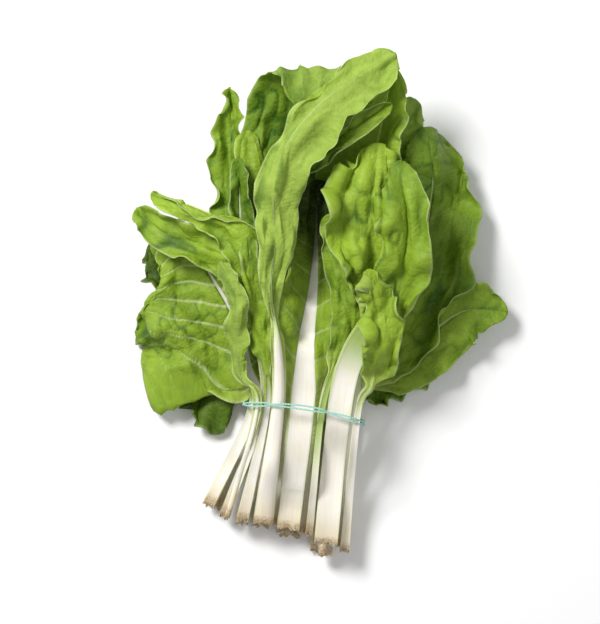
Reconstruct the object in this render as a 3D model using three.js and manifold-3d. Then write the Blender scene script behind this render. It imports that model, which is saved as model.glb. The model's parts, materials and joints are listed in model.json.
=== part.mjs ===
// A tied bunch of white-stemmed chard, lying on its back on a flat surface. Millimetres, +Z up.
// +Y runs from the cut stem ends towards the leaf tips. The origin is under the middle of the bunch,
// on the surface.
//
// Every leaf has two solids. The stalk is the white petiole, which narrows into the midrib. The blade is
// the green sheet on both sides of it: a grid of rows along the midrib and columns towards each margin,
// folded, cupped, pleated and ruffled by formula. The leaves are laid one on another, lowest first: where
// one would cut into those under it, it is lifted clear, and the lift fades along the leaf.
import * as THREE from "three";
import { mergeVertices } from "three/addons/utils/BufferGeometryUtils.js";
import Module from "manifold-3d";

const wasm = await Module();
wasm.setup();
const { clamp, degToRad, lerp } = THREE.MathUtils;

// ---- Driving dimensions -------------------------------------------------------------------------

const BLADE_THICK = 0.8;
const RIB_GAP = 0.35; // between a midrib and the blade beside it
const WING_START_WIDTH = 0.8;
const WING_WIDTH = 2.5; // the narrow green wings on the stalk, where the broad blade begins
const RIB_END_WIDTH = 1.8;
const RIB_END_DEPTH = 1.2;
const LAY_GAP = 0.7; // least height kept between two leaves
const PRESS = 2.2; // depth by which a leaf's underside is pressed flat on the surface

const TIE_RADIUS = 0.8;
const TIE_CLEARANCE = 1.9;
const TIE_SPREAD = 1.5; // how far the two turns stand off their middle line
const TIE_CROSSINGS = 3; // waves of the two turns about each other
const TIE_CENTRE = new THREE.Vector3(-12, -83, 0);
const TIE_NORMAL = new THREE.Vector3(0.15, 0.99, 0).normalize();

const WHITE = { color: 0xece9dc, roughness: 0.38, metalness: 0 };
const GREEN = { color: 0x7fa637, roughness: 0.5, metalness: 0 };
const TURQUOISE = { color: 0x6fc4ae, roughness: 0.6, metalness: 0 };

// ---- Grid of a leaf -----------------------------------------------------------------------------

const STALK_ROWS = 4; // rows of the bare stalk, below the wings
const WING_ROWS = 2;
const RIB_SHORT = 2; // rows between the end of the midrib and the tip
const SECTION_STEPS = 24; // steps in which a half section is summed, a multiple of every leaf's columns
const SPINE_SAMPLES = 240;
const BELLY = 0.75; // less brings the widest part of a blade nearer to its neck
const TIP_FULLNESS = 0.88; // 1 would bring the outline to a point
const TIP_ROUNDING = 0.45;
const RIB_TAPER = 1.25; // 1 narrows the midrib evenly, more narrows it sooner
const NECK_EASE = 0.35; // share of the broad blade in which its cup, curl and waves grow from nothing

// Leaf fields, lengths in mm and angles in degrees. Pairs are [left, right], seen from the stem with the
// face up.
//   grid     [rows from the start of the wings to the tip, columns from the midrib to one margin]
//   spine    points from the cut end to the tip: [x, y, z, then the direction the leaf's face looks to]
//   stalk    [width at the cut, width at the neck, thickness]
//   start, neck   shares of the spine's length where the wings and the broad blade begin
//   wing     widths of the wings, where they aren't WING_WIDTH
//   wide     half widths of the blade
//   late     share of the broad blade in which it widens slowly from the neck
//   belly    where the blade is widest, where that isn't BELLY
//   fold     angle of each half at the midrib, at neck, middle and tip: positive turns it to the face
//   cup      further bend of each half towards its margin
//   curl     further bend of the outer part alone
//   ruffle   [height of the margin's waves, number of waves]
//   crumple  height of the broad dents
//   pleat    [height of the pleats that run along the leaf, number of them on each half]
//   taper    how soon the midrib narrows, where that isn't RIB_TAPER
//   droop    how far each half hangs back past the neck, in half widths
const LEAVES = [
  {
    name: "under_left", seed: 11, grid: [10, 3], stalk: [14, 11, 8], start: 0.34, neck: 0.58,
    wide: [54, 36], late: 0.4,
    spine: [
      [-48, -179, 5.5, 0, 0, 1], [-34.5, -83, 10.5, 0, 0, 1], [-55, -55, 6, 0, 0, 1],
      [-77.5, -48, 2, 0, 0, 1], [-122.5, -35, 2, 0, 0, 1],
    ],
    fold: [[3, 4, 0], [3, 0, -5]], cup: [10, 0], curl: [0, 0], ruffle: [4, 3.5], crumple: 4,
  },
  {
    name: "under_centre", seed: 12, grid: [10, 3], stalk: [18, 14, 8], start: 0.28, neck: 0.4,
    wide: [58, 62],
    spine: [
      [-24, -187, 5.5, 0, 0, 1], [-13.5, -84, 11, 0, 0, 1], [-13, 0, 6, 0, 0, 1], [-10.5, 80, 3, 0, 0, 1],
      [-4, 169.5, 3, 0, 0, 1],
    ],
    fold: [[0, 0, 5], [0, 0, 5]], cup: [0, 0], curl: [0, 0], ruffle: [2, 5], crumple: 2,
  },
  {
    name: "under_right", seed: 13, grid: [10, 3], stalk: [17, 14, 8], start: 0.34, neck: 0.51,
    wide: [40, 36],
    spine: [
      [1.5, -200, 5.5, 0, 0, 1], [10.5, -86.5, 10.5, 0, 0, 1], [31, -51, 6, 0, 0, 1],
      [71, -35, 2, 0, 0, 1], [117.5, -24, 2, 0, 0, 1],
    ],
    fold: [[2, 4, 0], [3, 2, -5]], cup: [0, 10], curl: [0, 20], ruffle: [7, 4.5], crumple: 4,
  },
  {
    name: "left_back", seed: 14, grid: [10, 3], stalk: [12, 8, 7], start: 0.34, neck: 0.47,
    wide: [30, 26],
    spine: [
      [-86.5, -163, 7, 0, 0, 1], [-49.5, -80, 10, 0, 0, 1], [-79, -35, 14, -0.2, 0, 1],
      [-111, 9.5, 18, -0.3, 0, 1], [-135, 56, 20, -0.3, 0, 1],
    ],
    fold: [[0, 10, 5], [0, 0, 0]], cup: [15, 0], curl: [30, 0], ruffle: [7, 4.5], crumple: 4,
  },
  {
    name: "right_back", seed: 21, grid: [11, 3], stalk: [12, 9, 7], start: 0.3, neck: 0.62,
    wide: [30, 32],
    spine: [
      [5.5, -201.5, 14, 0, 0, -1], [12, -85, 16, 0, 0, -1], [26.5, -9.5, 24, 0, 0, -1],
      [39, 70.5, 34, 0, 0, -1], [53.5, 121.5, 46, 0.2, 0.2, -1], [66.5, 149, 52, 0.3, 0.4, -1],
      [76, 169.5, 42, 0.4, 0.6, -1],
    ],
    fold: [[0, 12, 5], [0, 12, 5]], cup: [10, 10], curl: [0, 0], ruffle: [2, 2.5], crumple: 3, taper: 3,
  },
  {
    name: "right_flap", seed: 33, grid: [11, 3], stalk: [10, 7, 6], start: 0.34, neck: 0.5,
    wide: [34, 30],
    spine: [
      [20, -192, 10, 0, 0, 1], [25, -85, 14, 0, 0, 1], [47, -56, 16, 0, 0, 1], [81, -29.5, 20, 0, 0, 1],
      [117.5, -3, 24, 0, 0, 1], [154.5, -3, 20, 0.1, 0, 1],
    ],
    fold: [[0, 0, -10], [0, 0, 0]], cup: [20, 0], curl: [20, -10], ruffle: [5, 3.5], crumple: 4,
  },
  {
    name: "top_left_small", seed: 18, grid: [12, 3], stalk: [8, 5, 5], start: 0.3, neck: 0.62,
    wide: [18, 17],
    spine: [
      [-77.5, -171, 15, -0.2, 0, 1], [-47, -79, 20, -0.2, 0, 1], [-57.5, -1, 30, -0.3, 0, 1],
      [-71, 50.5, 40, -0.3, 0, 1], [-71, 102.5, 42, -0.2, 0, 1], [-72, 179, 34, 0, 0, 1],
    ],
    fold: [[0, 10, 35], [0, 15, 40]], cup: [10, 10], curl: [30, -30], ruffle: [4, 3.5], crumple: 4,
    pleat: [2, 1], taper: 3,
  },
  {
    name: "top_left_tall", seed: 15, grid: [16, 4], stalk: [13, 8, 7], start: 0.28, neck: 0.42,
    wide: [36, 42],
    spine: [
      [-28, -184, 16, 0, 0, 1], [-19, -82.5, 18, 0, 0, 1], [-29.5, 0, 26, 0, 0, 1],
      [-34.5, 80, 34, 0, -0.2, 1], [-26.5, 142.5, 46, 0, -0.4, 1], [-20, 179, 60, 0, -0.9, 0.8],
      [-15, 192, 76, 0, -1, -0.2], [-13.5, 179, 88, 0, -0.5, -1], [-13.5, 157, 90, 0, 0, -1],
    ],
    fold: [[0, 6, -8], [0, 6, -8]], cup: [0, 0], curl: [-20, -20], ruffle: [3, 3.5], crumple: 3,
    pleat: [3, 1.2], taper: 2,
  },
  {
    name: "right_wide", seed: 16, grid: [16, 4], stalk: [14, 11, 7], start: 0.2, neck: 0.36,
    wide: [46, 48],
    spine: [
      [4, -185.5, 22, 0, 0, 1], [15, -82.5, 25, 0, 0, 1], [28, -46.5, 32, 0, 0, 1],
      [52, -13, 30, 0.1, 0, 1], [71, 25.5, 28, 0.1, 0, 1], [87, 65.5, 26, 0.1, 0, 1],
      [92, 107, 24, 0.2, 0, 1], [85.5, 145.5, 20, 0.2, 0, 1],
    ],
    fold: [[2, 10, 5], [0, 0, -5]], cup: [10, -10], curl: [20, 60], ruffle: [7, 4.5], crumple: 5,
    pleat: [3, 1.2],
  },
  {
    name: "bright_top", seed: 35, grid: [13, 4], stalk: [13, 8, 6], start: 0.3, neck: 0.66,
    wide: [46, 24],
    spine: [
      [-11, -185.5, 16, 0, 0, 1], [-1, -82.5, 20, 0, 0, 1], [17, -9.5, 32, 0, 0, 1],
      [36, 70.5, 46, 0, 0, 1], [47, 133, 58, 0, -0.2, 1], [52, 157, 68, 0, -0.5, 1],
      [55, 174.5, 74, 0.1, -0.3, 1], [55, 197, 72, 0.2, 0, 1],
    ],
    fold: [[10, 0, 0], [10, 35, 25]], cup: [0, 10], curl: [-20, 0], ruffle: [3, 3.5], crumple: 3,
    taper: 2,
  },
  {
    name: "left_wide", seed: 17, grid: [17, 4], stalk: [10, 8, 7], start: 0.28, neck: 0.38,
    wide: [92, 22], late: 0.28,
    spine: [
      [-90.5, -161.5, 16, -0.4, 0, 1], [-52, -80, 20, -0.3, 0, 1], [-57.5, -46.5, 28, -0.2, 0, 1],
      [-65, -14.5, 34, -0.2, 0, 1], [-80, 14.5, 38, -0.2, 0, 1], [-103, 46.5, 36, -0.2, 0, 1],
      [-135, 64, 30, -0.2, 0, 1],
    ],
    fold: [[0, -5, -5], [0, 0, 10]], cup: [-16, 0], curl: [-10, 0], ruffle: [5, 3.5], crumple: 5,
    droop: [1.3, 0],
  },
  {
    name: "left_round", seed: 36, grid: [10, 3], stalk: [6, 4, 4.5], start: 0.3, neck: 0.66,
    wide: [14, 14],
    spine: [
      [-62.5, -174.5, 9, 0, 0, 1], [-40, -80, 14, 0, 0, 1], [-45.5, 6.5, 34, 0, 0, 1],
      [-53.5, 78.5, 50, 0, -0.2, 1], [-57.5, 142.5, 56, 0, -0.3, 1],
    ],
    fold: [[0, 15, 0], [0, 15, 0]], cup: [-10, -10], curl: [0, 0], ruffle: [2, 3], crumple: 2,
  },
  {
    name: "left_small", seed: 20, grid: [11, 3], stalk: [6, 4, 4.5], start: 0.3, neck: 0.7,
    wide: [11, 11],
    spine: [
      [-61, -176, 9, 0, 0, 1], [-37, -80, 14, 0, 0, 1], [-45.5, -1.5, 36, 0, 0, 1],
      [-61.5, 56, 58, 0, -0.3, 1], [-64, 120, 68, 0, -0.3, 1],
    ],
    fold: [[0, 20, 15], [0, 20, 15]], cup: [15, 15], curl: [0, 0], ruffle: [1.5, 3], crumple: 1.5,
  },
  {
    name: "left_tip", seed: 37, grid: [12, 3], stalk: [6, 4, 4.5], start: 0.3, neck: 0.6, wide: [18, 17],
    spine: [
      [-65, -176, 14, 0, 0, 1], [-44, -80, 18, 0, 0, 1], [-52, -9.5, 38, 0, 0, 1],
      [-65, 32, 52, 0, -0.2, 1], [-92, 49.5, 56, 0, -0.2, 1], [-124, 61, 50, 0, -0.2, 1],
      [-148, 80, 38, 0, 0, 1],
    ],
    fold: [[0, 10, 20], [0, 10, 20]], cup: [10, 10], curl: [0, -30], ruffle: [3, 2.5], crumple: 3,
    pleat: [2, 1], taper: 3,
  },
  {
    name: "left_horizontal", seed: 19, grid: [12, 3], stalk: [7, 5, 5], start: 0.3, neck: 0.54,
    wide: [21, 21],
    spine: [
      [-50.5, -176, 16, 0, 0, 1], [-32, -80, 20, 0, 0, 1], [-42.5, -17.5, 40, 0.1, 0, 1],
      [-50.5, 37, 58, 0.2, -0.5, 1], [-66.5, 62.5, 66, -0.2, -0.7, 0.8], [-98.5, 78.5, 64, 0, -0.9, 0.3],
      [-135, 91, 54, 0, -0.6, 0.8],
    ],
    fold: [[0, 10, 10], [0, 10, 10]], cup: [10, 10], curl: [30, 20], ruffle: [4, 2.5], crumple: 3,
    taper: 3,
  },
  {
    name: "roll", seed: 38, grid: [12, 3], stalk: [6, 4, 4.5], start: 0.3, neck: 0.7, wide: [13, 13],
    spine: [
      [-37.5, -177.5, 18, 0, 0, 1], [-25.5, -81, 22, 0, 0, 1], [-28, -9.5, 44, 0, 0, 1],
      [-31, 62.5, 66, 0, 0, 1], [-23, 104, 78, 0, -0.3, 1], [-2.5, 123, 84, 0.2, -0.3, 1],
      [25, 141, 88, 0.2, -0.3, 1], [57, 161.5, 88, 0.2, -0.3, 1],
    ],
    fold: [[0, 35, 30], [0, 40, 30]], cup: [10, 10], curl: [0, 0], ruffle: [2, 3], crumple: 2,
  },
  {
    name: "centre", seed: 22, grid: [17, 4], stalk: [18, 20, 9], start: 0.12, neck: 0.4, wing: [4, 9],
    wide: [30, 30],
    spine: [
      [-25, -180, 26, 0, 0, 1], [-13.5, -78.5, 29, 0, 0, 1], [-10.5, -29.5, 30, 0, 0, 1],
      [-5, 14.5, 28, 0, 0, 1], [-2.5, 54.5, 24, 0, 0, 1], [-1, 102.5, 20, 0, 0, 1],
    ],
    fold: [[6, 28, 20], [6, 28, 20]], cup: [20, 20], curl: [0, 0], ruffle: [3, 4], crumple: 3,
  },
  {
    name: "right_inner", seed: 23, grid: [13, 3], stalk: [6, 4, 4.5], start: 0.34, neck: 0.5,
    wide: [13, 16],
    spine: [
      [-8, -185.5, 12, 0, 0, 1], [2.5, -82.5, 14, 0, 0, 1], [15, -41.5, 30, 0, 0, 1],
      [22.5, -5, 42, -0.3, 0, 1], [17.5, 27, 54, -0.4, 0, 1], [11, 51, 60, -0.4, 0, 1],
      [7, 75, 64, -0.3, 0, 1],
    ],
    fold: [[0, 25, 15], [0, 15, 10]], cup: [10, 10], curl: [0, -10], ruffle: [3, 3], crumple: 2,
  },
  {
    name: "right_bright", seed: 26, grid: [16, 6], stalk: [10, 5, 6], start: 0.24, neck: 0.4,
    wide: [47, 40], late: 0.8, belly: 1,
    spine: [
      [18.5, -195, 20, 0.2, 0, 1], [29.5, -82.5, 26, 0.2, 0, 1], [37.5, -38.5, 42, 0.2, 0, 1],
      [49, 3, 60, 0, 0, 1], [47, 43, 72, 0, 0, 1], [44, 81.5, 80, 0, 0, 1], [47, 131, 78, 0, 0, 1],
    ],
    fold: [[0, -5, -5], [0, -15, -10]], cup: [0, 0], curl: [30, 30], ruffle: [6, 4.5], crumple: 5,
    pleat: [7, 1.5], taper: 4,
  },
  {
    name: "right_mid", seed: 34, grid: [12, 3], stalk: [19, 18, 7], start: 0.3, neck: 0.56,
    wide: [27, 22],
    spine: [
      [5.5, -192, 26, 0, 0, 1], [16.5, -83, 29, 0, 0, 1], [29, -35, 40, 0, 0, 1], [57, 6.5, 62, 0, 0, 1],
      [68, 46.5, 78, 0, 0, 1], [68, 81.5, 86, 0, 0, 1], [63, 117, 84, 0, 0, 1],
    ],
    fold: [[0, 50, 30], [0, 25, 10]], cup: [-50, 0], curl: [-60, -20], ruffle: [3, 2.5], crumple: 3,
    taper: 3,
  },
  {
    name: "right_low", seed: 24, grid: [13, 3], stalk: [8, 4, 5], start: 0.51, neck: 0.6, wide: [15, 22],
    spine: [
      [21, -198.5, 24, 0.3, 0, 1], [31, -85, 32, 0.3, 0, 1], [41, -61, 44, 0.3, 0, 1],
      [46.5, -29, 54, 0.3, 0, 1], [45.5, 1.5, 62, 0.3, 0, 1], [37.5, 30.5, 66, 0.3, 0, 1],
    ],
    fold: [[0, 10, 10], [-5, -20, -10]], cup: [20, 10], curl: [-15, 20], ruffle: [4, 3], crumple: 3,
  },
  {
    name: "left_slip", seed: 39, grid: [12, 3], stalk: [10, 4, 6], start: 0.3, neck: 0.46, wide: [9, 11],
    late: 0.4,
    spine: [
      [-62.5, -173, 22, 0, 0, 1], [-41.5, -80, 26, 0, 0, 1], [-44, -43, 34, 0, 0, 1],
      [-48, -9.5, 46, 0, 0, 1], [-54.5, 25.5, 56, 0, 0, 1], [-57, 56, 62, 0, 0, 1],
    ],
    fold: [[0, -25, -20], [0, -30, 0]], cup: [0, 0], curl: [0, 30], ruffle: [4, 3.5], crumple: 2,
  },
  {
    name: "left_strip", seed: 25, grid: [13, 3], stalk: [5, 3, 4], start: 0.26, neck: 0.45,
    wide: [10, 12], late: 0.4,
    spine: [
      [-74.5, -169.5, 22, 0, 0, -1], [-49.5, -79, 28, 0, 0, -1], [-63, -54.5, 40, 0, 0, -1],
      [-65, -25.5, 52, 0, 0, -1], [-64, 3, 60, 0, 0, -1], [-70.5, 22.5, 64, 0, 0, -1],
      [-78.5, 37, 62, 0, 0, -1],
    ],
    fold: [[0, 25, 20], [0, 20, 10]], cup: [10, 10], curl: [-20, -20], ruffle: [3, 3.5], crumple: 2,
    taper: 3,
  },
  {
    name: "arch", seed: 27, grid: [18, 4], stalk: [17, 7, 8], start: 0.22, neck: 0.33, wide: [26, 21],
    late: 0.3, belly: 1.3,
    spine: [
      [-45.5, -175, 26, 0, 0, -1], [-33, -78.5, 31, 0, 0, -1], [-33.5, -25.5, 44, 0, 0, -1],
      [-38.5, 13, 64, 0, 0, -1], [-35, 54.5, 82, 0, 0, -1], [-36, 89.5, 94, 0.2, -0.2, -1],
      [-26.5, 126.5, 100, 0.3, -0.3, -1], [-1, 158.5, 100, 0.3, -0.3, -1], [29.5, 181, 96, 0.2, -0.2, -1],
      [60, 201.5, 88, 0, 0, -1],
    ],
    fold: [[0, 20, -10], [0, 25, 20]], cup: [5, 10], curl: [-30, -20], ruffle: [4, 4.5], crumple: 4,
    pleat: [2, 1], taper: 4,
  },
];
// ---- Curves and small helpers -------------------------------------------------------------------

// A repeatable number from 0 to 1: the k-th draw of a seed.
function draw(seed, k) {
  const v = Math.sin(seed * 12.9898 + k * 78.233) * 43758.5453;
  return v - Math.floor(v);
}

// The value at t from 0 to 1 of the parabola through three values at 0, a half and 1.
function through([a, b, c], t) {
  return a * (1 - t) * (1 - 2 * t) + 4 * b * t * (1 - t) + c * t * (2 * t - 1);
}

function smooth(from, to, x) {
  return THREE.MathUtils.smoothstep(x, from, to);
}

// A leaf's midline, sampled evenly, which gives the frame at any share of its length.
class Spine {
  constructor(points) {
    const curve = (from) =>
      new THREE.CatmullRomCurve3(
        points.map((p) => new THREE.Vector3(...p.slice(from, from + 3))), false, "catmullrom", 0.5,
      );
    this.places = curve(0).getPoints(SPINE_SAMPLES);
    this.faces = curve(3).getPoints(SPINE_SAMPLES);
    this.reach = [0];
    for (let k = 1; k <= SPINE_SAMPLES; k++)
      this.reach.push(this.reach[k - 1] + this.places[k].distanceTo(this.places[k - 1]));
    this.length = this.reach[SPINE_SAMPLES];
    this.tangents = this.places.map((_, k) => {
      const before = this.places[Math.max(k - 1, 0)];
      const after = this.places[Math.min(k + 1, SPINE_SAMPLES)];
      return after.clone().sub(before).normalize();
    });
  }

  // The place at share u, with the directions along the leaf, out of its face and to its right.
  at(u) {
    const want = clamp(u, 0, 1) * this.length;
    let k = this.reach.findIndex((x) => x > want) - 1;
    if (k < 0) k = SPINE_SAMPLES - 1;
    const share = clamp((want - this.reach[k]) / (this.reach[k + 1] - this.reach[k]), 0, 1);
    const mix = (list) => list[k].clone().lerp(list[k + 1], share);
    const along = mix(this.tangents).normalize();
    const face = mix(this.faces);
    const out = face.addScaledVector(along, -face.dot(along)).normalize();
    return { place: mix(this.places), along, out, right: along.clone().cross(out) };
  }
}

// ---- Shape of a leaf ----------------------------------------------------------------------------

const tipRow = (leaf) => leaf.grid[0];
const ribEnd = (leaf) => leaf.grid[0] - RIB_SHORT;

// Row r runs from -STALK_ROWS at the cut, through 0 where the wings begin, to the tip's row. u is its
// share of the spine's length, and t its share of the broad blade.
function station(leaf, r) {
  if (r < 0) return { u: leaf.start * (1 + r / STALK_ROWS), t: 0 };
  if (r < WING_ROWS) return { u: lerp(leaf.start, leaf.neck, r / WING_ROWS), t: 0 };
  const t = (r - WING_ROWS) / (tipRow(leaf) - WING_ROWS);
  return { u: lerp(leaf.neck, 1, t), t };
}

// The outline of a broad blade: 0 at the neck, 1 at its widest, blunt at the tip.
function outline(leaf, t) {
  const slow = leaf.late ? smooth(0, leaf.late, t) : 1;
  return slow * Math.sin(Math.PI * (TIP_FULLNESS * t) ** (leaf.belly ?? BELLY)) ** 0.65;
}

function halfWidth(leaf, side, r) {
  const wing = leaf.wing?.[side] ?? WING_WIDTH;
  if (r < WING_ROWS) return lerp(WING_START_WIDTH, wing, r / WING_ROWS);
  return wing + (leaf.wide[side] - wing) * outline(leaf, station(leaf, r).t);
}

// Width and thickness of the stalk and midrib at share u of the spine.
function ribWidth(leaf, u) {
  const [cut, neck] = leaf.stalk;
  if (u < leaf.neck) return lerp(cut, neck, u / leaf.neck);
  return RIB_END_WIDTH + (neck - RIB_END_WIDTH) * ribTaper(leaf, u);
}

function ribDepth(leaf, u) {
  const thick = leaf.stalk[2];
  if (u < leaf.neck) return lerp(thick, 0.75 * thick, u / leaf.neck);
  return RIB_END_DEPTH + (0.75 * thick - RIB_END_DEPTH) * ribTaper(leaf, u);
}

function ribTaper(leaf, u) {
  const end = station(leaf, ribEnd(leaf)).u;
  return (1 - clamp((u - leaf.neck) / (end - leaf.neck), 0, 1)) ** (leaf.taper ?? RIB_TAPER);
}

// Angle of the half blade's section at share s from midrib to margin, towards the leaf's face.
function sectionAngle(leaf, side, t, s) {
  const bend = leaf.cup[side] * s + leaf.curl[side] * smooth(0.55, 1, s);
  return degToRad(through(leaf.fold[side], t) + bend * smooth(0, NECK_EASE, t));
}

// How far the section has gone across and out at share s, in half widths.
function sectionAt(leaf, side, t, s) {
  const steps = Math.round(s * SECTION_STEPS);
  let across = 0;
  let out = 0;
  for (let k = 0; k < steps; k++) {
    const angle = sectionAngle(leaf, side, t, (k + 0.5) / SECTION_STEPS);
    across += Math.cos(angle) / SECTION_STEPS;
    out += Math.sin(angle) / SECTION_STEPS;
  }
  return { across, out, angle: sectionAngle(leaf, side, t, s) };
}

// Waves of the margin, which fade towards the midrib, and broad dents of the whole half.
function waves(leaf, side, t, s) {
  const phase = (k) => 2 * Math.PI * draw(leaf.seed, 10 * side + k);
  const turn = 2 * Math.PI * leaf.ruffle[1] * t;
  const ease = outline(leaf, t) * smooth(0, NECK_EASE, t);
  const fade = ease * leaf.ruffle[0] * s ** 1.8;
  const [pleatHigh, pleats] = leaf.pleat ?? [0, 0];
  const pleat = Math.sin(2 * Math.PI * pleats * s + 1.2 * Math.sin(5 * t + phase(5)) + phase(6));
  const dents =
    Math.sin(2 * Math.PI * (1.1 * t + 0.6 * s) + phase(3)) +
    Math.sin(2 * Math.PI * (2.3 * t - 0.9 * s) + phase(4));
  return {
    out: fade * (Math.sin(turn + phase(1)) + 0.45 * Math.sin(1.9 * turn + phase(2))) +
      ease * Math.sqrt(s) * (0.5 * leaf.crumple * dents + pleatHigh * pleat),
    along: 0.35 * fade * Math.cos(turn + phase(1)),
  };
}

// The middle of the blade's thickness at row r, on side 0 (left) or 1 (right), at share s from midrib to
// margin.
function bladePoint(leaf, side, r, s) {
  const { u, t } = station(leaf, r);
  const droop = (leaf.droop?.[side] ?? 0) * leaf.wide[side] * Math.sqrt(outline(leaf, t)) * (1 - t) ** 4;
  const bow = s ** 2 * TIP_ROUNDING * Math.max(...leaf.wide) * t ** 5 + s * droop;
  const frame = leaf.line.at(u - bow / leaf.line.length);
  const half = halfWidth(leaf, side, r);
  const section = sectionAt(leaf, side, t, s);
  const wave = waves(leaf, side, t, s);
  const fromRib = half * section.across - wave.out * Math.sin(section.angle);
  const across = ribWidth(leaf, u) / 2 + RIB_GAP + fromRib;
  return frame.place
    .addScaledVector(frame.right, side ? across : -across)
    .addScaledVector(frame.out, half * section.out + wave.out * Math.cos(section.angle))
    .addScaledVector(frame.along, wave.along);
}

// The stalk's section as shares of its half width and depth: a shallow trough in front, round behind.
const STALK_SECTION = [
  [-1, 0.05], [-0.75, -0.75], [0, -1], [0.75, -0.75], [1, 0.05], [0.4, -0.08], [-0.4, -0.08],
];

function stalkRing(leaf, u) {
  const { place, out, right } = leaf.line.at(u);
  return STALK_SECTION.map(([across, depth]) =>
    place
      .clone()
      .addScaledVector(right, (across * ribWidth(leaf, u)) / 2)
      .addScaledVector(out, depth * ribDepth(leaf, u)),
  );
}

// ---- Meshes with one lift for each row and column -----------------------------------------------

const liftColumns = (leaf) => 2 * leaf.grid[1] + 1;
const liftIndex = (leaf, r, column) => (r + STALK_ROWS) * liftColumns(leaf) + column + leaf.grid[1];

// The stalk as rings from the cut end to the end of the midrib. Each point follows the lift of its row's
// middle.
function stalkMesh(leaf) {
  const points = [];
  const lifts = [];
  const triangles = [];
  const sides = STALK_SECTION.length;
  for (let r = -STALK_ROWS; r <= ribEnd(leaf); r++) {
    const u = station(leaf, r).u - (r === ribEnd(leaf) ? RIB_GAP / leaf.line.length : 0);
    points.push(...stalkRing(leaf, u));
    lifts.push(...STALK_SECTION.map(() => liftIndex(leaf, r, 0)));
  }
  const rings = points.length / sides;
  for (let ring = 0; ring < rings - 1; ring++)
    for (let k = 0; k < sides; k++) {
      const a = ring * sides + k;
      const b = ring * sides + ((k + 1) % sides);
      triangles.push([a, b + sides, b], [a, a + sides, b + sides]);
    }
  for (let k = 1; k < sides - 1; k++) {
    const last = (rings - 1) * sides;
    triangles.push([0, k, k + 1], [last, last + k + 1, last + k]);
  }
  return { points, lifts, triangles };
}

// The blade's middle surface: columns from the left margin to the right one, open over the midrib.
function bladeMesh(leaf) {
  const [rows, cols] = leaf.grid;
  const columns = [];
  for (let c = cols; c >= 0; c--) columns.push({ side: 0, c });
  for (let c = 0; c <= cols; c++) columns.push({ side: 1, c });
  const wide = columns.length;
  const points = [];
  const lifts = [];
  for (let r = 0; r <= rows; r++)
    for (const { side, c } of columns) {
      points.push(bladePoint(leaf, side, r, c / cols));
      lifts.push(liftIndex(leaf, r, side ? c : -c));
    }
  const normals = points.map((_, i) => {
    const r = Math.floor(i / wide);
    const c = i % wide;
    const low = c === cols + 1 ? c : Math.max(c - 1, 0);
    const high = c === cols ? c : Math.min(c + 1, wide - 1);
    const across = points[r * wide + high].clone().sub(points[r * wide + low]);
    const ahead = points[Math.min(r + 1, rows) * wide + c];
    const along = ahead.clone().sub(points[Math.max(r - 1, 0) * wide + c]);
    return across.cross(along).normalize();
  });
  const triangles = [];
  for (let r = 0; r < rows; r++)
    for (let c = 0; c < wide - 1; c++) {
      if (c === cols && r < ribEnd(leaf)) continue;
      const [a, b] = [r * wide + c, r * wide + c + 1];
      const [d, e] = [a + wide, b + wide];
      const rising = points[a].distanceTo(points[e]) < points[b].distanceTo(points[d]);
      if (rising) triangles.push([a, b, e], [a, e, d]);
      else triangles.push([a, b, d], [b, e, d]);
    }
  return { points, lifts, normals, triangles };
}

// ---- Laying the leaves one on another -----------------------------------------------------------

const CELL = 1;
const PILE_HALF = { x: 220, y: 260 };
const PILE_WIDE = Math.ceil((2 * PILE_HALF.x) / CELL);
const pile = new Float32Array(PILE_WIDE * Math.ceil((2 * PILE_HALF.y) / CELL)).fill(-LAY_GAP - PRESS);
const MOST_PASSES = 12;
const STIFFNESS = { stalk: 0.6, along: 0.8, across: 1.0 }; // most change of lift over a length

function cellAt(x, y) {
  return Math.floor((y + PILE_HALF.y) / CELL) * PILE_WIDE + Math.floor((x + PILE_HALF.x) / CELL);
}

// Calls visit(x, y, z) on points all over a triangle, less than a cell apart.
function eachPoint(corners, visit) {
  const [a, b, c] = corners;
  const steps = Math.ceil((2 * Math.max(a.distanceTo(b), b.distanceTo(c), c.distanceTo(a))) / CELL);
  for (let i = 0; i <= steps; i++)
    for (let j = 0; j <= steps - i; j++) {
      const [p, q] = [i / steps, j / steps];
      const mix = (key) => a[key] + p * (b[key] - a[key]) + q * (c[key] - a[key]);
      visit(mix("x"), mix("y"), mix("z"));
    }
}

// Half the sheet's thickness measured upwards, which grows where the sheet is steep.
function upright(corners, half) {
  const normal = new THREE.Triangle(...corners).getNormal(new THREE.Vector3());
  return half / Math.max(Math.abs(normal.z), 0.25);
}

function raised(mesh, lift) {
  return mesh.points.map((p, i) => p.clone().setZ(p.z + lift[mesh.lifts[i]]));
}

// Lets a lift fade no faster than the leaf can bend.
function spread(leaf, lift) {
  const [last, cols] = leaf.grid;
  const wide = liftColumns(leaf);
  const rows = STALK_ROWS + last + 1;
  const fade = (r) => {
    const steep = r < WING_ROWS ? STIFFNESS.stalk : STIFFNESS.along;
    return steep * leaf.line.length * (station(leaf, r + 1).u - station(leaf, r).u);
  };
  for (let sweep = 0; sweep < 4; sweep++)
    for (let step = 0; step < rows * wide; step++) {
      const i = sweep % 2 ? rows * wide - 1 - step : step;
      const column = (i % wide) - cols;
      const row = Math.floor(i / wide) - STALK_ROWS;
      const across = (STIFFNESS.across * halfWidth(leaf, column < 0 ? 0 : 1, Math.max(row, 0))) / cols;
      const near = [];
      if (column > -cols) near.push(lift[i - 1] - across);
      if (column < cols) near.push(lift[i + 1] - across);
      if (row > -STALK_ROWS) near.push(lift[i - wide] - fade(row - 1));
      if (row < last) near.push(lift[i + wide] - fade(row));
      lift[i] = Math.max(lift[i], ...near);
    }
}

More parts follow.
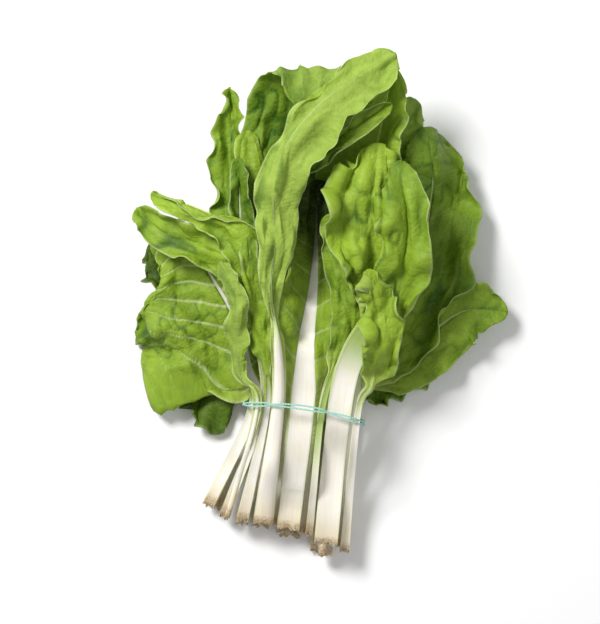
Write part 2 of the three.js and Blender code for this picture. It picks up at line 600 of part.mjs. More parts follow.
// Finds the lift of every row and column that clears the pile, then adds the leaf to it.
function lay(leaf, stalk, blade) {
  const lift = new Float64Array((STALK_ROWS + tipRow(leaf) + 1) * liftColumns(leaf));
  const sheets = [[stalk, 0], [blade, BLADE_THICK / 2]];
  for (let pass = 0; pass < MOST_PASSES; pass++) {
    const wanted = lift.slice();
    let most = 0;
    for (const [mesh, half] of sheets) {
      const points = raised(mesh, lift);
      for (const triangle of mesh.triangles) {
        const corners = triangle.map((i) => points[i]);
        const pad = upright(corners, half) + LAY_GAP;
        let need = 0;
        eachPoint(corners, (x, y, z) => {
          const at = cellAt(x, y);
          const beside = cellAt(x + CELL / 2, y + CELL / 2);
          need = Math.max(need, pile[at] + pad - z, pile[beside] + pad - z);
        });
        for (const i of triangle) {
          const node = mesh.lifts[i];
          wanted[node] = Math.max(wanted[node], lift[node] + need);
        }
        most = Math.max(most, need);
      }
    }
    lift.set(wanted);
    spread(leaf, lift);
    if (most < 0.02) break;
  }
  for (const [mesh, half] of sheets) {
    const points = raised(mesh, lift);
    for (const triangle of mesh.triangles) {
      const corners = triangle.map((i) => points[i]);
      const pad = upright(corners, half);
      eachPoint(corners, (x, y, z) => {
        const at = cellAt(x, y);
        pile[at] = Math.max(pile[at], z + pad);
      });
    }
  }
  return lift;
}

// ---- Solids -------------------------------------------------------------------------------------

function geometry(points, triangles) {
  const made = new THREE.BufferGeometry().setFromPoints(points);
  made.setIndex(triangles.flat());
  return made;
}

function stalkGeometry(mesh, lift) {
  const points = raised(mesh, lift);
  for (const p of points) p.z = Math.max(p.z, 0);
  return geometry(points, mesh.triangles);
}

// Both faces of the sheet, split into the same triangles, and a wall along every open edge.
function bladeGeometry(mesh, lift) {
  const face = (sign, lowest) =>
    mesh.points.map((p, i) => {
      const made = p.clone().addScaledVector(mesh.normals[i], (sign * BLADE_THICK) / 2);
      return made.setZ(Math.max(made.z + lift[mesh.lifts[i]], lowest));
    });
  const flipped = (i) => mesh.normals[i].z < 0;
  const front = face(1, 0).map((p, i) => p.setZ(Math.max(p.z, flipped(i) ? 0 : BLADE_THICK)));
  const back = face(-1, 0).map((p, i) => p.setZ(Math.max(p.z, flipped(i) ? BLADE_THICK : 0)));
  const count = front.length;
  const triangles = [];
  const open = new Map();
  for (const [a, b, c] of mesh.triangles) {
    triangles.push([a, b, c], [c + count, b + count, a + count]);
    for (const [from, to] of [[a, b], [b, c], [c, a]])
      if (!open.delete(`${to},${from}`)) open.set(`${from},${to}`, [from, to]);
  }
  for (const [from, to] of open.values())
    triangles.push([to, from, from + count], [to, from + count, to + count]);
  return geometry([...front, ...back], triangles);
}

function solid(made) {
  const merged = mergeVertices(made, 1e-4);
  return new wasm.Manifold(
    new wasm.Mesh({
      numProp: 3,
      vertProperties: merged.attributes.position.array,
      triVerts: new Uint32Array(merged.index.array),
    }),
  );
}

function geometryOf(manifold) {
  const { vertProperties, triVerts } = manifold.getMesh();
  const made = new THREE.BufferGeometry();
  made.setAttribute("position", new THREE.BufferAttribute(vertProperties, 3));
  return made.setIndex(new THREE.BufferAttribute(triVerts, 1));
}

function named(name, made, look) {
  made.computeVertexNormals();
  const mesh = new THREE.Mesh(made, new THREE.MeshStandardMaterial(look));
  mesh.name = name;
  return mesh;
}

// ---- The tie ------------------------------------------------------------------------------------

const TIE_ACROSS = new THREE.Vector3(TIE_NORMAL.y, -TIE_NORMAL.x, 0);
const TIE_STEPS = 28;
const TIE_SIDES = 5;

// Points where the stalks cross the planes that the tie lies between, as [across, up].
function tiePoints(held) {
  const found = [];
  for (const { points, triangles } of held)
    for (const triangle of triangles)
      for (const offset of [-2 * TIE_SPREAD, -TIE_SPREAD, 0, TIE_SPREAD, 2 * TIE_SPREAD]) {
        const height = triangle.map((i) => points[i].clone().sub(TIE_CENTRE).dot(TIE_NORMAL) - offset);
        for (let k = 0; k < 3; k++) {
          const [h, g] = [height[k], height[(k + 1) % 3]];
          if (h * g >= 0) continue;
          const p = points[triangle[k]].clone().lerp(points[triangle[(k + 1) % 3]], h / (h - g));
          found.push([p.clone().sub(TIE_CENTRE).dot(TIE_ACROSS), p.z]);
        }
      }
  return found;
}

// The convex outline of points, anticlockwise.
function hull(points) {
  const sorted = [...points].sort((p, q) => p[0] - q[0] || p[1] - q[1]);
  const turn = (o, p, q) => (p[0] - o[0]) * (q[1] - o[1]) - (p[1] - o[1]) * (q[0] - o[0]);
  const half = (list) => {
    const kept = [];
    for (const p of list) {
      while (kept.length > 1 && turn(kept.at(-2), kept.at(-1), p) <= 0) kept.pop();
      kept.push(p);
    }
    return kept.slice(0, -1);
  };
  return [...half(sorted), ...half(sorted.reverse())];
}

// The tie's middle line: the hull pushed out by its own radius, at even angles about its middle.
function tieLine(outlinePoints) {
  const distance = TIE_RADIUS + TIE_CLEARANCE;
  const pushed = [];
  outlinePoints.forEach((p, i) => {
    const q = outlinePoints[(i + 1) % outlinePoints.length];
    const normal = new THREE.Vector2(q[1] - p[1], p[0] - q[0]).normalize().multiplyScalar(distance);
    pushed.push(new THREE.Vector2(p[0], p[1]).add(normal), new THREE.Vector2(q[0], q[1]).add(normal));
  });
  const lengths = pushed.map((p, i) => p.distanceTo(pushed[(i + 1) % pushed.length]));
  const total = lengths.reduce((sum, x) => sum + x);
  const line = [];
  for (let step = 0, i = 0, gone = 0; step < TIE_STEPS; step++) {
    const want = (step * total) / TIE_STEPS;
    while (gone + lengths[i] < want) gone += lengths[i++];
    line.push(pushed[i].clone().lerp(pushed[(i + 1) % pushed.length], (want - gone) / lengths[i]));
  }
  return line;
}

function tieTurn(line, sign) {
  const centre = line.map((p, k) => {
    const wave = sign * TIE_SPREAD * Math.sin((2 * Math.PI * TIE_CROSSINGS * k) / TIE_STEPS);
    const place = TIE_CENTRE.clone().addScaledVector(TIE_ACROSS, p.x).setZ(p.y);
    return place.addScaledVector(TIE_NORMAL, wave);
  });
  const points = [];
  const triangles = [];
  centre.forEach((p, k) => {
    const next = centre[(k + 1) % TIE_STEPS];
    const along = next.clone().sub(centre.at(k - 1)).normalize();
    const up = TIE_NORMAL.clone().addScaledVector(along, -TIE_NORMAL.dot(along)).normalize();
    const outward = along.clone().cross(up);
    for (let side = 0; side < TIE_SIDES; side++) {
      const angle = (2 * Math.PI * side) / TIE_SIDES;
      const arm = outward.clone().multiplyScalar(Math.cos(angle)).addScaledVector(up, Math.sin(angle));
      points.push(p.clone().addScaledVector(arm, TIE_RADIUS));
      const [a, b] = [k * TIE_SIDES + side, k * TIE_SIDES + ((side + 1) % TIE_SIDES)];
      const ahead = (i) => (i + TIE_SIDES) % (TIE_STEPS * TIE_SIDES);
      triangles.push([a, ahead(b), b], [a, ahead(a), ahead(b)]);
    }
  });
  return solid(geometry(points, triangles));
}

// ---- The bunch ----------------------------------------------------------------------------------

const bunch = new THREE.Group();
const held = [];
for (const leaf of LEAVES) {
  leaf.line = new Spine(leaf.spine);
  const stalk = stalkMesh(leaf);
  const blade = bladeMesh(leaf);
  const lift = lay(leaf, stalk, blade);
  bunch.add(named(`${leaf.name}_stalk`, stalkGeometry(stalk, lift), WHITE));
  bunch.add(named(`${leaf.name}_blade`, bladeGeometry(blade, lift), GREEN));
  const wingCorners = (WING_ROWS + 1) * 2 * (leaf.grid[1] + 1);
  const wings = blade.triangles.filter((corners) => Math.max(...corners) < wingCorners);
  held.push({ points: raised(stalk, lift), triangles: stalk.triangles });
  held.push({ points: raised(blade, lift), triangles: wings });
}

const line = tieLine(hull(tiePoints(held)));
bunch.add(named("tie", geometryOf(tieTurn(line, 1).add(tieTurn(line, -1))), TURQUOISE));

// The origin goes on the surface under the middle of the bunch.
const middle = new THREE.Box3().setFromObject(bunch).getCenter(new THREE.Vector3());
bunch.position.set(-middle.x, -middle.y, 0);

export default bunch;
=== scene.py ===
"""A tied bunch of white-stemmed chard on its back, seen from straight above.

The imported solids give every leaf's place. This script works out the same leaves by the same formulas on a
grid several times finer, reads from the solids how far each row and column was lifted when the leaves were
laid one on another, and adds what a solid is too coarse for: side veins, the quilted lamina between them,
small waves of the margin, ribs and ragged cuts on the stalks, and the twist of the tie. Leaf sizes are in
millimetres, angles in degrees. Blender's objects are in metres.
"""

from types import SimpleNamespace

import bpy
import numpy as np
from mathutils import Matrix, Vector
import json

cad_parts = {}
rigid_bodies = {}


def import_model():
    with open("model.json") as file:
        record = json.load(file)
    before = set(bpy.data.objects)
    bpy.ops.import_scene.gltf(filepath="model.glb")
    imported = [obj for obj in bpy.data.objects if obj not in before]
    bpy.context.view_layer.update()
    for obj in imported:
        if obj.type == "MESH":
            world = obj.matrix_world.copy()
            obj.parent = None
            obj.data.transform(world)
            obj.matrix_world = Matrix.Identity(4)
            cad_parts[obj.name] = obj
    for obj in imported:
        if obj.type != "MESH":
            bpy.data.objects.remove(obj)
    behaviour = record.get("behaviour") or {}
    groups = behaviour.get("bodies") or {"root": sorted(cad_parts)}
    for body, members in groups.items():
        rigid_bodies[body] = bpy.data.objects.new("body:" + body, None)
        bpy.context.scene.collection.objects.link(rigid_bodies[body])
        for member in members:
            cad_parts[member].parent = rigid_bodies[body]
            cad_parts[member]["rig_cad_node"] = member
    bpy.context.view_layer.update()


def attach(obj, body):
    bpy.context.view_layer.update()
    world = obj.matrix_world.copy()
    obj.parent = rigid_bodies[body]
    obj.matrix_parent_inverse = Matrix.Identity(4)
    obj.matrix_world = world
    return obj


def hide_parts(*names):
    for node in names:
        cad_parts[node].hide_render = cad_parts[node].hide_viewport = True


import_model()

MM = 0.001

# ---- Camera ----

PICTURE_HIGH = 0.8 * 0.624  # metres that the picture covers at the height of the leaves
CAMERA_HIGH = 2.0
LEAF_HIGH = 0.06
CAMERA_OVER = (-0.0167, -0.0055)
SENSOR = 36.0

camera = bpy.data.objects.new("camera", bpy.data.cameras.new("camera"))
bpy.context.collection.objects.link(camera)
bpy.context.scene.camera = camera
camera.location = (*CAMERA_OVER, CAMERA_HIGH)
camera.data.sensor_width = SENSOR
camera.data.lens = SENSOR * (CAMERA_HIGH - LEAF_HIGH) / PICTURE_HIGH

# ---- The leaves ----

STALK_ROWS = 4  # rows of the bare stalk, below the wings
WING_ROWS = 2
RIB_SHORT = 2  # rows between the end of the midrib and the tip
SECTION_STEPS = 24
SPINE_SAMPLES = 240
WING_START_WIDTH = 0.8
RIB_GAP = 0.35  # between a midrib and the blade beside it
RIB_END_WIDTH = 1.8
RIB_END_DEPTH = 1.2
RIB_SHARE = 0.75  # depth of the midrib at the neck, as a share of the stalk's thickness
TIP_FULLNESS = 0.88  # 1 would bring the outline to a point
TIP_ROUNDING = 0.45
SWELL_POWER = 0.65
NECK_EASE = 0.35  # share of the broad blade in which its cup, curl and waves grow from nothing
BLADE_THICK = 0.8
FACE_UP = (0, 0, 1)

# Leaf fields, in mm and degrees. Pairs are (left, right), seen from the stem with the face up. The solids
# are made from these:
#   grid     (rows from the start of the wings to the tip, columns from the midrib to one margin)
#   stalk    (width at the cut, width at the neck, thickness)
#   start, neck   shares of the spine's length where the wings and the broad blade begin
#   wide, wing    half widths of the blade, and widths of the wings
#   late     share of the broad blade in which it widens slowly from the neck
#   belly    where the blade is widest: more is nearer the tip
#   taper    how soon the midrib narrows
#   droop    how far each half hangs back past the neck, in half widths
#   spine    points from the cut end to the tip, with the way the leaf's face looks where that changes
#   fold     angle of each half at the midrib, at neck, middle and tip: positive turns it to the face
#   cup, curl     further bend of each half towards its margin, and of its outer part alone
#   ruffle   (height of the margin's waves, number of waves)
#   crumple  height of the broad dents
#   pleat    (height of the pleats that run along the leaf, number of them on each half)
# This script adds these:
#   tone     how deep the green is: 0 yellow-green, 1 deep green
#   quilt    how strongly the lamina bulges between the veins
#   veins    how pale the side veins are
#   green    shares of the way from tie to tip between which the stalk goes from white to green
#   seam     mm of midrib left behind a blade whose halves close over it, so that only a crease shows
#   folds    how deep the fine folds and creases are
#   dark  painted shade deep inside the bunch: how much darker the blade is at the neck and at the tip
#   fine     how fine the grid is

# What a leaf has where its own lines don't say otherwise.
USUAL = dict(
    stalk=(6, 4, 4.5), start=0.3, wing=(2.5, 2.5), late=0, belly=0.75, taper=1.25, droop=(0, 0), cup=(0, 0),
    curl=(0, 0), crumple=3, pleat=(0, 0), quilt=0.25, veins=0.2, seam=0, folds=1, dark=(0, 0), fine=1,
)
LEAVES = []


def add_leaf(name, **fields):
    LEAVES.append(SimpleNamespace(name=name, **{**USUAL, **fields}))


add_leaf(
    "under_left", seed=11, grid=(10, 3), stalk=(14, 11, 8), start=0.34, neck=0.58, wide=(54, 36), late=0.4,
    spine=[(-48, -179, 5.5), (-34.5, -83, 10.5), (-55, -55, 6), (-77.5, -48, 2), (-122.5, -35, 2)],
    fold=[(3, 4, 0), (3, 0, -5)], cup=(10, 0), ruffle=(4, 3.5), crumple=4, tone=0.95, quilt=0.5, veins=0.3,
    green=(0.1, 0.6), dark=(0.3, 0.6), folds=1.6, fine=0.8,
)
# Its deepest tone and its darkening are painted shade: it lies deep in the hollow between the other leaves.
add_leaf(
    "under_centre", seed=12, grid=(10, 3), stalk=(18, 14, 8), start=0.28, neck=0.4, wide=(58, 62),
    spine=[(-24, -187, 5.5), (-13.5, -84, 11), (-13, 0, 6), (-10.5, 80, 3), (-4, 169.5, 3)],
    fold=[(0, 0, 5), (0, 0, 5)], ruffle=(2, 5), crumple=2, tone=1, quilt=0.3, veins=0.1, green=(0.2, 0.6),
    dark=(0.6, 0.9), fine=0.6,
)
add_leaf(
    "under_right", seed=13, grid=(10, 3), stalk=(17, 14, 8), start=0.34, neck=0.51, wide=(40, 36),
    spine=[(1.5, -200, 5.5), (10.5, -86.5, 10.5), (31, -51, 6), (71, -35, 2), (117.5, -24, 2)],
    fold=[(2, 4, 0), (3, 2, -5)], cup=(0, 10), curl=(0, 20), ruffle=(7, 4.5), crumple=4, tone=0.75,
    quilt=0.5, veins=0.4, green=(0.1, 0.6), fine=0.8,
)
add_leaf(
    "left_back", seed=14, grid=(10, 3), stalk=(12, 8, 7), start=0.34, neck=0.47, wide=(30, 26),
    spine=[(-86.5, -163, 7), (-49.5, -80, 10), (-79, -35, 14, -0.2, 0, 1), (-111, 9.5, 18, -0.3, 0, 1),
           (-135, 56, 20)],
    fold=[(0, 10, 5), (0, 0, 0)], cup=(15, 0), curl=(30, 0), ruffle=(7, 4.5), crumple=4, tone=0.95,
    quilt=0.6, veins=0.3, green=(0.1, 0.5), dark=(0.3, 0.6), folds=1.6,
)
add_leaf(
    "right_back", seed=21, grid=(11, 3), stalk=(12, 9, 7), neck=0.62, wide=(30, 32), taper=3,
    spine=[(5.5, -201.5, 14, 0, 0, -1), (12, -85, 16), (26.5, -9.5, 24), (39, 70.5, 34),
           (53.5, 121.5, 46, 0.2, 0.2, -1), (66.5, 149, 52, 0.3, 0.4, -1), (76, 169.5, 42, 0.4, 0.6, -1)],
    fold=[(0, 12, 5), (0, 12, 5)], cup=(10, 10), ruffle=(2, 2.5), tone=0.5, quilt=0.2, veins=0.1,
    green=(0.1, 0.4), seam=2, folds=1.3,
)
add_leaf(
    "right_flap", seed=33, grid=(11, 3), stalk=(10, 7, 6), start=0.34, neck=0.5, wide=(34, 30),
    spine=[(20, -192, 10), (25, -85, 14), (47, -56, 16), (81, -29.5, 20), (117.5, -3, 24),
           (154.5, -3, 20, 0.1, 0, 1)],
    fold=[(0, 0, -10), (0, 0, 0)], cup=(20, 0), curl=(20, -10), ruffle=(5, 3.5), crumple=4, tone=0.5,
    quilt=0.5, veins=0.5, green=(0.2, 0.8), folds=0.9,
)
add_leaf(
    "top_left_small", seed=18, grid=(12, 3), stalk=(8, 5, 5), neck=0.62, wide=(18, 17), taper=3,
    spine=[(-77.5, -171, 15, -0.2, 0, 1), (-47, -79, 20), (-57.5, -1, 30, -0.3, 0, 1), (-71, 50.5, 40),
           (-71, 102.5, 42, -0.2, 0, 1), (-72, 179, 34, 0, 0, 1)],
    fold=[(0, 10, 35), (0, 15, 40)], cup=(10, 10), curl=(30, -30), ruffle=(4, 3.5), crumple=4,
    pleat=(2, 1), tone=0.5, quilt=0.3, green=(0.1, 0.4), seam=2, folds=1.2,
)
add_leaf(
    "top_left_tall", seed=15, grid=(16, 4), stalk=(13, 8, 7), start=0.28, neck=0.42, wide=(36, 42),
    taper=2,
    spine=[(-28, -184, 16), (-19, -82.5, 18), (-29.5, 0, 26), (-34.5, 80, 34, 0, -0.2, 1),
           (-26.5, 142.5, 46, 0, -0.4, 1), (-20, 179, 60, 0, -0.9, 0.8), (-15, 192, 76, 0, -1, -0.2),
           (-13.5, 179, 88, 0, -0.5, -1), (-13.5, 157, 90, 0, 0, -1)],
    fold=[(0, 6, -8), (0, 6, -8)], curl=(-20, -20), ruffle=(3, 3.5), pleat=(3, 1.2), tone=0.75, veins=0.25,
    green=(0.2, 0.5), seam=2, folds=1.5,
)
add_leaf(
    "right_wide", seed=16, grid=(16, 4), stalk=(14, 11, 7), start=0.2, neck=0.36, wide=(46, 48),
    spine=[(4, -185.5, 22), (15, -82.5, 25), (28, -46.5, 32), (52, -13, 30, 0.1, 0, 1), (71, 25.5, 28),
           (87, 65.5, 26), (92, 107, 24, 0.2, 0, 1), (85.5, 145.5, 20)],
    fold=[(2, 10, 5), (0, 0, -5)], cup=(10, -10), curl=(20, 60), ruffle=(7, 4.5), crumple=5,
    pleat=(3, 1.2), tone=0.7, quilt=0.6, veins=0.45, green=(0.3, 1), folds=0.9, fine=1.3,
)
add_leaf(
    "bright_top", seed=35, grid=(13, 4), stalk=(13, 8, 6), neck=0.66, wide=(46, 24), taper=2,
    spine=[(-11, -185.5, 16), (-1, -82.5, 20), (17, -9.5, 32), (36, 70.5, 46), (47, 133, 58, 0, -0.2, 1),
           (52, 157, 68, 0, -0.5, 1), (55, 174.5, 74, 0.1, -0.3, 1), (55, 197, 72, 0.2, 0, 1)],
    fold=[(10, 0, 0), (10, 35, 25)], cup=(0, 10), curl=(-20, 0), ruffle=(3, 3.5), tone=0.35, veins=0.25,
    green=(0.3, 0.6), folds=1.2,
)
add_leaf(
    "left_wide", seed=17, grid=(17, 4), stalk=(10, 8, 7), start=0.28, neck=0.38, wide=(92, 22), late=0.28,
    droop=(1.3, 0),
    spine=[(-90.5, -161.5, 16, -0.4, 0, 1), (-52, -80, 20, -0.3, 0, 1), (-57.5, -46.5, 28, -0.2, 0, 1),
           (-65, -14.5, 34), (-80, 14.5, 38), (-103, 46.5, 36), (-135, 64, 30)],
    fold=[(0, -5, -5), (0, 0, 10)], cup=(-16, 0), curl=(-10, 0), ruffle=(5, 3.5), crumple=5, tone=0.4,
    quilt=0.6, veins=1, green=(0.3, 1.2), folds=1.2, fine=1.5,
)
add_leaf(
    "left_round", seed=36, grid=(10, 3), neck=0.66, wide=(14, 14),
    spine=[(-62.5, -174.5, 9), (-40, -80, 14), (-45.5, 6.5, 34), (-53.5, 78.5, 50, 0, -0.2, 1),
           (-57.5, 142.5, 56, 0, -0.3, 1)],
    fold=[(0, 15, 0), (0, 15, 0)], cup=(-10, -10), ruffle=(2, 3), crumple=2, tone=0.35, green=(0.1, 0.3),
    seam=2,
)
add_leaf(
    "left_small", seed=20, grid=(11, 3), neck=0.7, wide=(11, 11),
    spine=[(-61, -176, 9), (-37, -80, 14), (-45.5, -1.5, 36), (-61.5, 56, 58, 0, -0.3, 1), (-64, 120, 68)],
    fold=[(0, 20, 15), (0, 20, 15)], cup=(15, 15), ruffle=(1.5, 3), crumple=1.5, tone=0.85, quilt=0.3,
    veins=0.4, green=(0.5, 1.2),
)
add_leaf(
    "left_tip", seed=37, grid=(12, 3), neck=0.6, wide=(18, 17), taper=3,
    spine=[(-65, -176, 14), (-44, -80, 18), (-52, -9.5, 38), (-65, 32, 52, 0, -0.2, 1), (-92, 49.5, 56),
           (-124, 61, 50), (-148, 80, 38, 0, 0, 1)],
    fold=[(0, 10, 20), (0, 10, 20)], cup=(10, 10), curl=(0, -30), ruffle=(3, 2.5), pleat=(2, 1), tone=0.3,
    veins=0.25, green=(0.05, 0.3), seam=2, folds=1.3,
)
add_leaf(
    "left_horizontal", seed=19, grid=(12, 3), stalk=(7, 5, 5), neck=0.54, wide=(21, 21), taper=3,
    spine=[(-50.5, -176, 16), (-32, -80, 20), (-42.5, -17.5, 40, 0.1, 0, 1), (-50.5, 37, 58, 0.2, -0.5, 1),
           (-66.5, 62.5, 66, -0.2, -0.7, 0.8), (-98.5, 78.5, 64, 0, -0.9, 0.3),
           (-135, 91, 54, 0, -0.6, 0.8)],
    fold=[(0, 10, 10), (0, 10, 10)], cup=(10, 10), curl=(30, 20), ruffle=(4, 2.5), tone=0.2,
    green=(0.05, 0.3), seam=2, folds=1.5,
)
add_leaf(
    "roll", seed=38, grid=(12, 3), neck=0.7, wide=(13, 13),
    spine=[(-37.5, -177.5, 18), (-25.5, -81, 22), (-28, -9.5, 44), (-31, 62.5, 66),
           (-23, 104, 78, 0, -0.3, 1), (-2.5, 123, 84, 0.2, -0.3, 1), (25, 141, 88), (57, 161.5, 88)],
    fold=[(0, 35, 30), (0, 40, 30)], cup=(10, 10), ruffle=(2, 3), crumple=2, tone=0.6, quilt=0.2,
    green=(0.1, 0.3), seam=2,
)
add_leaf(
    "centre", seed=22, grid=(17, 4), stalk=(18, 20, 9), start=0.12, neck=0.4, wide=(30, 30), wing=(4, 9),
    spine=[(-25, -180, 26), (-13.5, -78.5, 29), (-10.5, -29.5, 30), (-5, 14.5, 28), (-2.5, 54.5, 24),
           (-1, 102.5, 20)],
    fold=[(6, 28, 20), (6, 28, 20)], cup=(20, 20), ruffle=(3, 4), tone=0.3, quilt=0.3, veins=0.7,
    green=(0.5, 1), dark=(0, 0.95), fine=1.3,
)
add_leaf(
    "right_inner", seed=23, grid=(13, 3), start=0.34, neck=0.5, wide=(13, 16),
    spine=[(-8, -185.5, 12), (2.5, -82.5, 14), (15, -41.5, 30), (22.5, -5, 42, -0.3, 0, 1),
           (17.5, 27, 54, -0.4, 0, 1), (11, 51, 60), (7, 75, 64, -0.3, 0, 1)],
    fold=[(0, 25, 15), (0, 15, 10)], cup=(10, 10), curl=(0, -10), ruffle=(3, 3), crumple=2, tone=0.45,
    veins=0.25, green=(-0.45, 0), seam=2,
)
add_leaf(
    "right_bright", seed=26, grid=(16, 6), stalk=(10, 5, 6), start=0.24, neck=0.4, wide=(47, 40), late=0.8,
    belly=1, taper=4,
    spine=[(18.5, -195, 20, 0.2, 0, 1), (29.5, -82.5, 26), (37.5, -38.5, 42), (49, 3, 60, 0, 0, 1),
           (47, 43, 72), (44, 81.5, 80), (47, 131, 78)],
    fold=[(0, -5, -5), (0, -15, -10)], curl=(30, 30), ruffle=(6, 4.5), crumple=5, pleat=(7, 1.5),
    tone=0.25, quilt=0.35, green=(0, 0.2), seam=2, folds=2.4,
)
add_leaf(
    "right_mid", seed=34, grid=(12, 3), stalk=(19, 18, 7), neck=0.56, wide=(27, 22), taper=3,
    spine=[(5.5, -192, 26), (16.5, -83, 29), (29, -35, 40), (57, 6.5, 62), (68, 46.5, 78), (68, 81.5, 86),
           (63, 117, 84)],
    fold=[(0, 50, 30), (0, 25, 10)], cup=(-50, 0), curl=(-60, -20), ruffle=(3, 2.5), tone=0.45, veins=0.15,
    green=(0.1, 0.3), seam=2, folds=1.9,
)
add_leaf(
    "right_low", seed=24, grid=(13, 3), stalk=(8, 4, 5), start=0.51, neck=0.6, wide=(15, 22),
    spine=[(21, -198.5, 24, 0.3, 0, 1), (31, -85, 32), (41, -61, 44), (46.5, -29, 54), (45.5, 1.5, 62),
           (37.5, 30.5, 66)],
    fold=[(0, 10, 10), (-5, -20, -10)], cup=(20, 10), curl=(-15, 20), ruffle=(4, 3), tone=0.3, quilt=0.35,
    veins=0.3, green=(-0.1, 0.15), seam=2, folds=2.1,
)
add_leaf(
    "left_slip", seed=39, grid=(12, 3), stalk=(10, 4, 6), neck=0.46, wide=(9, 11), late=0.4,
    spine=[(-62.5, -173, 22), (-41.5, -80, 26), (-44, -43, 34), (-48, -9.5, 46), (-54.5, 25.5, 56),
           (-57, 56, 62)],
    fold=[(0, -25, -20), (0, -30, 0)], curl=(0, 30), ruffle=(4, 3.5), crumple=2, tone=0.4, green=(0, 0.2),
    seam=2,
)
add_leaf(
    "left_strip", seed=25, grid=(13, 3), stalk=(5, 3, 4), start=0.26, neck=0.45, wide=(10, 12), late=0.4,
    taper=3,
    spine=[(-74.5, -169.5, 22, 0, 0, -1), (-49.5, -79, 28), (-63, -54.5, 40), (-65, -25.5, 52),
           (-64, 3, 60), (-70.5, 22.5, 64), (-78.5, 37, 62)],
    fold=[(0, 25, 20), (0, 20, 10)], cup=(10, 10), curl=(-20, -20), ruffle=(3, 3.5), crumple=2, tone=0.35,
    green=(0, 0.15), seam=0.2,
)
add_leaf(
    "arch", seed=27, grid=(18, 4), stalk=(17, 7, 8), start=0.22, neck=0.33, wide=(26, 21), late=0.3,
    belly=1.3, taper=4,
    spine=[(-45.5, -175, 26, 0, 0, -1), (-33, -78.5, 31), (-33.5, -25.5, 44), (-38.5, 13, 64),
           (-35, 54.5, 82), (-36, 89.5, 94, 0.2, -0.2, -1), (-26.5, 126.5, 100, 0.3, -0.3, -1),
           (-1, 158.5, 100), (29.5, 181, 96, 0.2, -0.2, -1), (60, 201.5, 88, 0, 0, -1)],
    fold=[(0, 20, -10), (0, 25, 20)], cup=(5, 10), curl=(-30, -20), ruffle=(4, 4.5), crumple=4,
    pleat=(2, 1), tone=0.25, quilt=0.2, veins=0.15, green=(0.13, 0.25), seam=0.2, folds=1.3,
)

# ---- Curves and small helpers ----

SCATTER = 43758.5453  # so large that the last digits of a sine decide


def draw(seed, k):
    """A repeatable number from 0 to 1: the k-th draw of a seed."""
    v = np.sin(seed * 12.9898 + k * 78.233) * SCATTER
    return v - np.floor(v)


def through(values, t):
    """The value at t of the parabola through three values at 0, a half and 1."""
    a, b, c = values
    return a * (1 - t) * (1 - 2 * t) + 4 * b * t * (1 - t) + c * t * (2 * t - 1)


def smooth(low, high, x):
    x = np.clip((x - low) / (high - low), 0, 1)
    return x * x * (3 - 2 * x)


def mix(a, b, x):
    return a + (b - a) * x


def unit(v):
    return v / np.maximum(np.linalg.norm(v, axis=-1, keepdims=True), 1e-9)


def cubic(values, at):
    """A smooth curve through values, one at each whole number, read at the places in at."""
    last = len(values) - 1
    k = np.clip(np.floor(at).astype(int), 0, last - 1)
    f = (at - k).reshape(at.shape + (1,) * (values.ndim - 1))
    before, here = values[np.maximum(k - 1, 0)], values[k]
    ahead, after = values[k + 1], values[np.minimum(k + 2, last)]
    bend = 2 * before - 5 * here + 4 * ahead - after
    turn = 3 * (here - ahead) + after - before
    return here + 0.5 * f * (ahead - before + f * (bend + f * turn))


def lattice(i, j, seed):
    """A repeatable number from 0 to 1 for each pair of whole numbers."""
    v = np.sin(i * 127.1 + j * 311.7 + seed * 74.7) * SCATTER
    return v - np.floor(v)


def noise(x, y, seed):
    """Smooth noise from -1 to 1, one bump or hollow to a unit."""
    i, j = np.floor(x), np.floor(y)
    f, g = smooth(0, 1, x - i), smooth(0, 1, y - j)
    low = mix(lattice(i, j, seed), lattice(i + 1, j, seed), f)
    high = mix(lattice(i, j + 1, seed), lattice(i + 1, j + 1, seed), f)
    return 2 * mix(low, high, g) - 1


def cells(x, y, seed):
    """0 on the borders of irregular cells one unit wide, rising to about 1 in their middles."""
    i, j = np.floor(x), np.floor(y)
    near = np.full(x.shape + (9,), 9.0)
    for n in range(9):
        p, q = i + n % 3 - 1, j + n // 3 - 1
        dx = p + 0.15 + 0.7 * lattice(p, q, seed) - x
        dy = q + 0.15 + 0.7 * lattice(p, q, seed + 31) - y
        near[..., n] = np.hypot(dx, dy)
    near.sort(axis=-1)
    return near[..., 1] - near[..., 0]


class Spine:
    """A leaf's midline, which gives the frame at any share of its length."""

    def __init__(self, points):
        rows, face = [], FACE_UP
        for point in points:
            face = point[3:] or face
            rows.append((*point[:3], *face))
        points = np.array(rows, float)
        padded = np.vstack([2 * points[0] - points[1], points, 2 * points[-1] - points[-2]])
        samples = cubic(padded, 1 + np.linspace(0, len(points) - 1, SPINE_SAMPLES + 1))
        self.places, self.faces = samples[:, :3], samples[:, 3:]
        steps = np.linalg.norm(np.diff(self.places, axis=0), axis=1)
        self.reach = np.concatenate([[0], np.cumsum(steps)])
        self.length = self.reach[-1]
        index = np.arange(SPINE_SAMPLES + 1)
        after, before = np.minimum(index + 1, SPINE_SAMPLES), np.maximum(index - 1, 0)
        self.tangents = unit(self.places[after] - self.places[before])

    def at(self, u):
        """The places at shares u, with the directions along the leaf, out of its face and to its right."""
        want = np.clip(u, 0, 1) * self.length
        k = np.clip(np.searchsorted(self.reach, want, side="right") - 1, 0, SPINE_SAMPLES - 1)
        share = ((want - self.reach[k]) / (self.reach[k + 1] - self.reach[k]))[..., None]
        place = mix(self.places[k], self.places[k + 1], share)
        along = unit(mix(self.tangents[k], self.tangents[k + 1], share))
        face = mix(self.faces[k], self.faces[k + 1], share)
        out = unit(face - along * np.sum(face * along, axis=-1, keepdims=True))
        return place, along, out, np.cross(along, out)


# ---- Shape of a leaf, as the solids have it ----

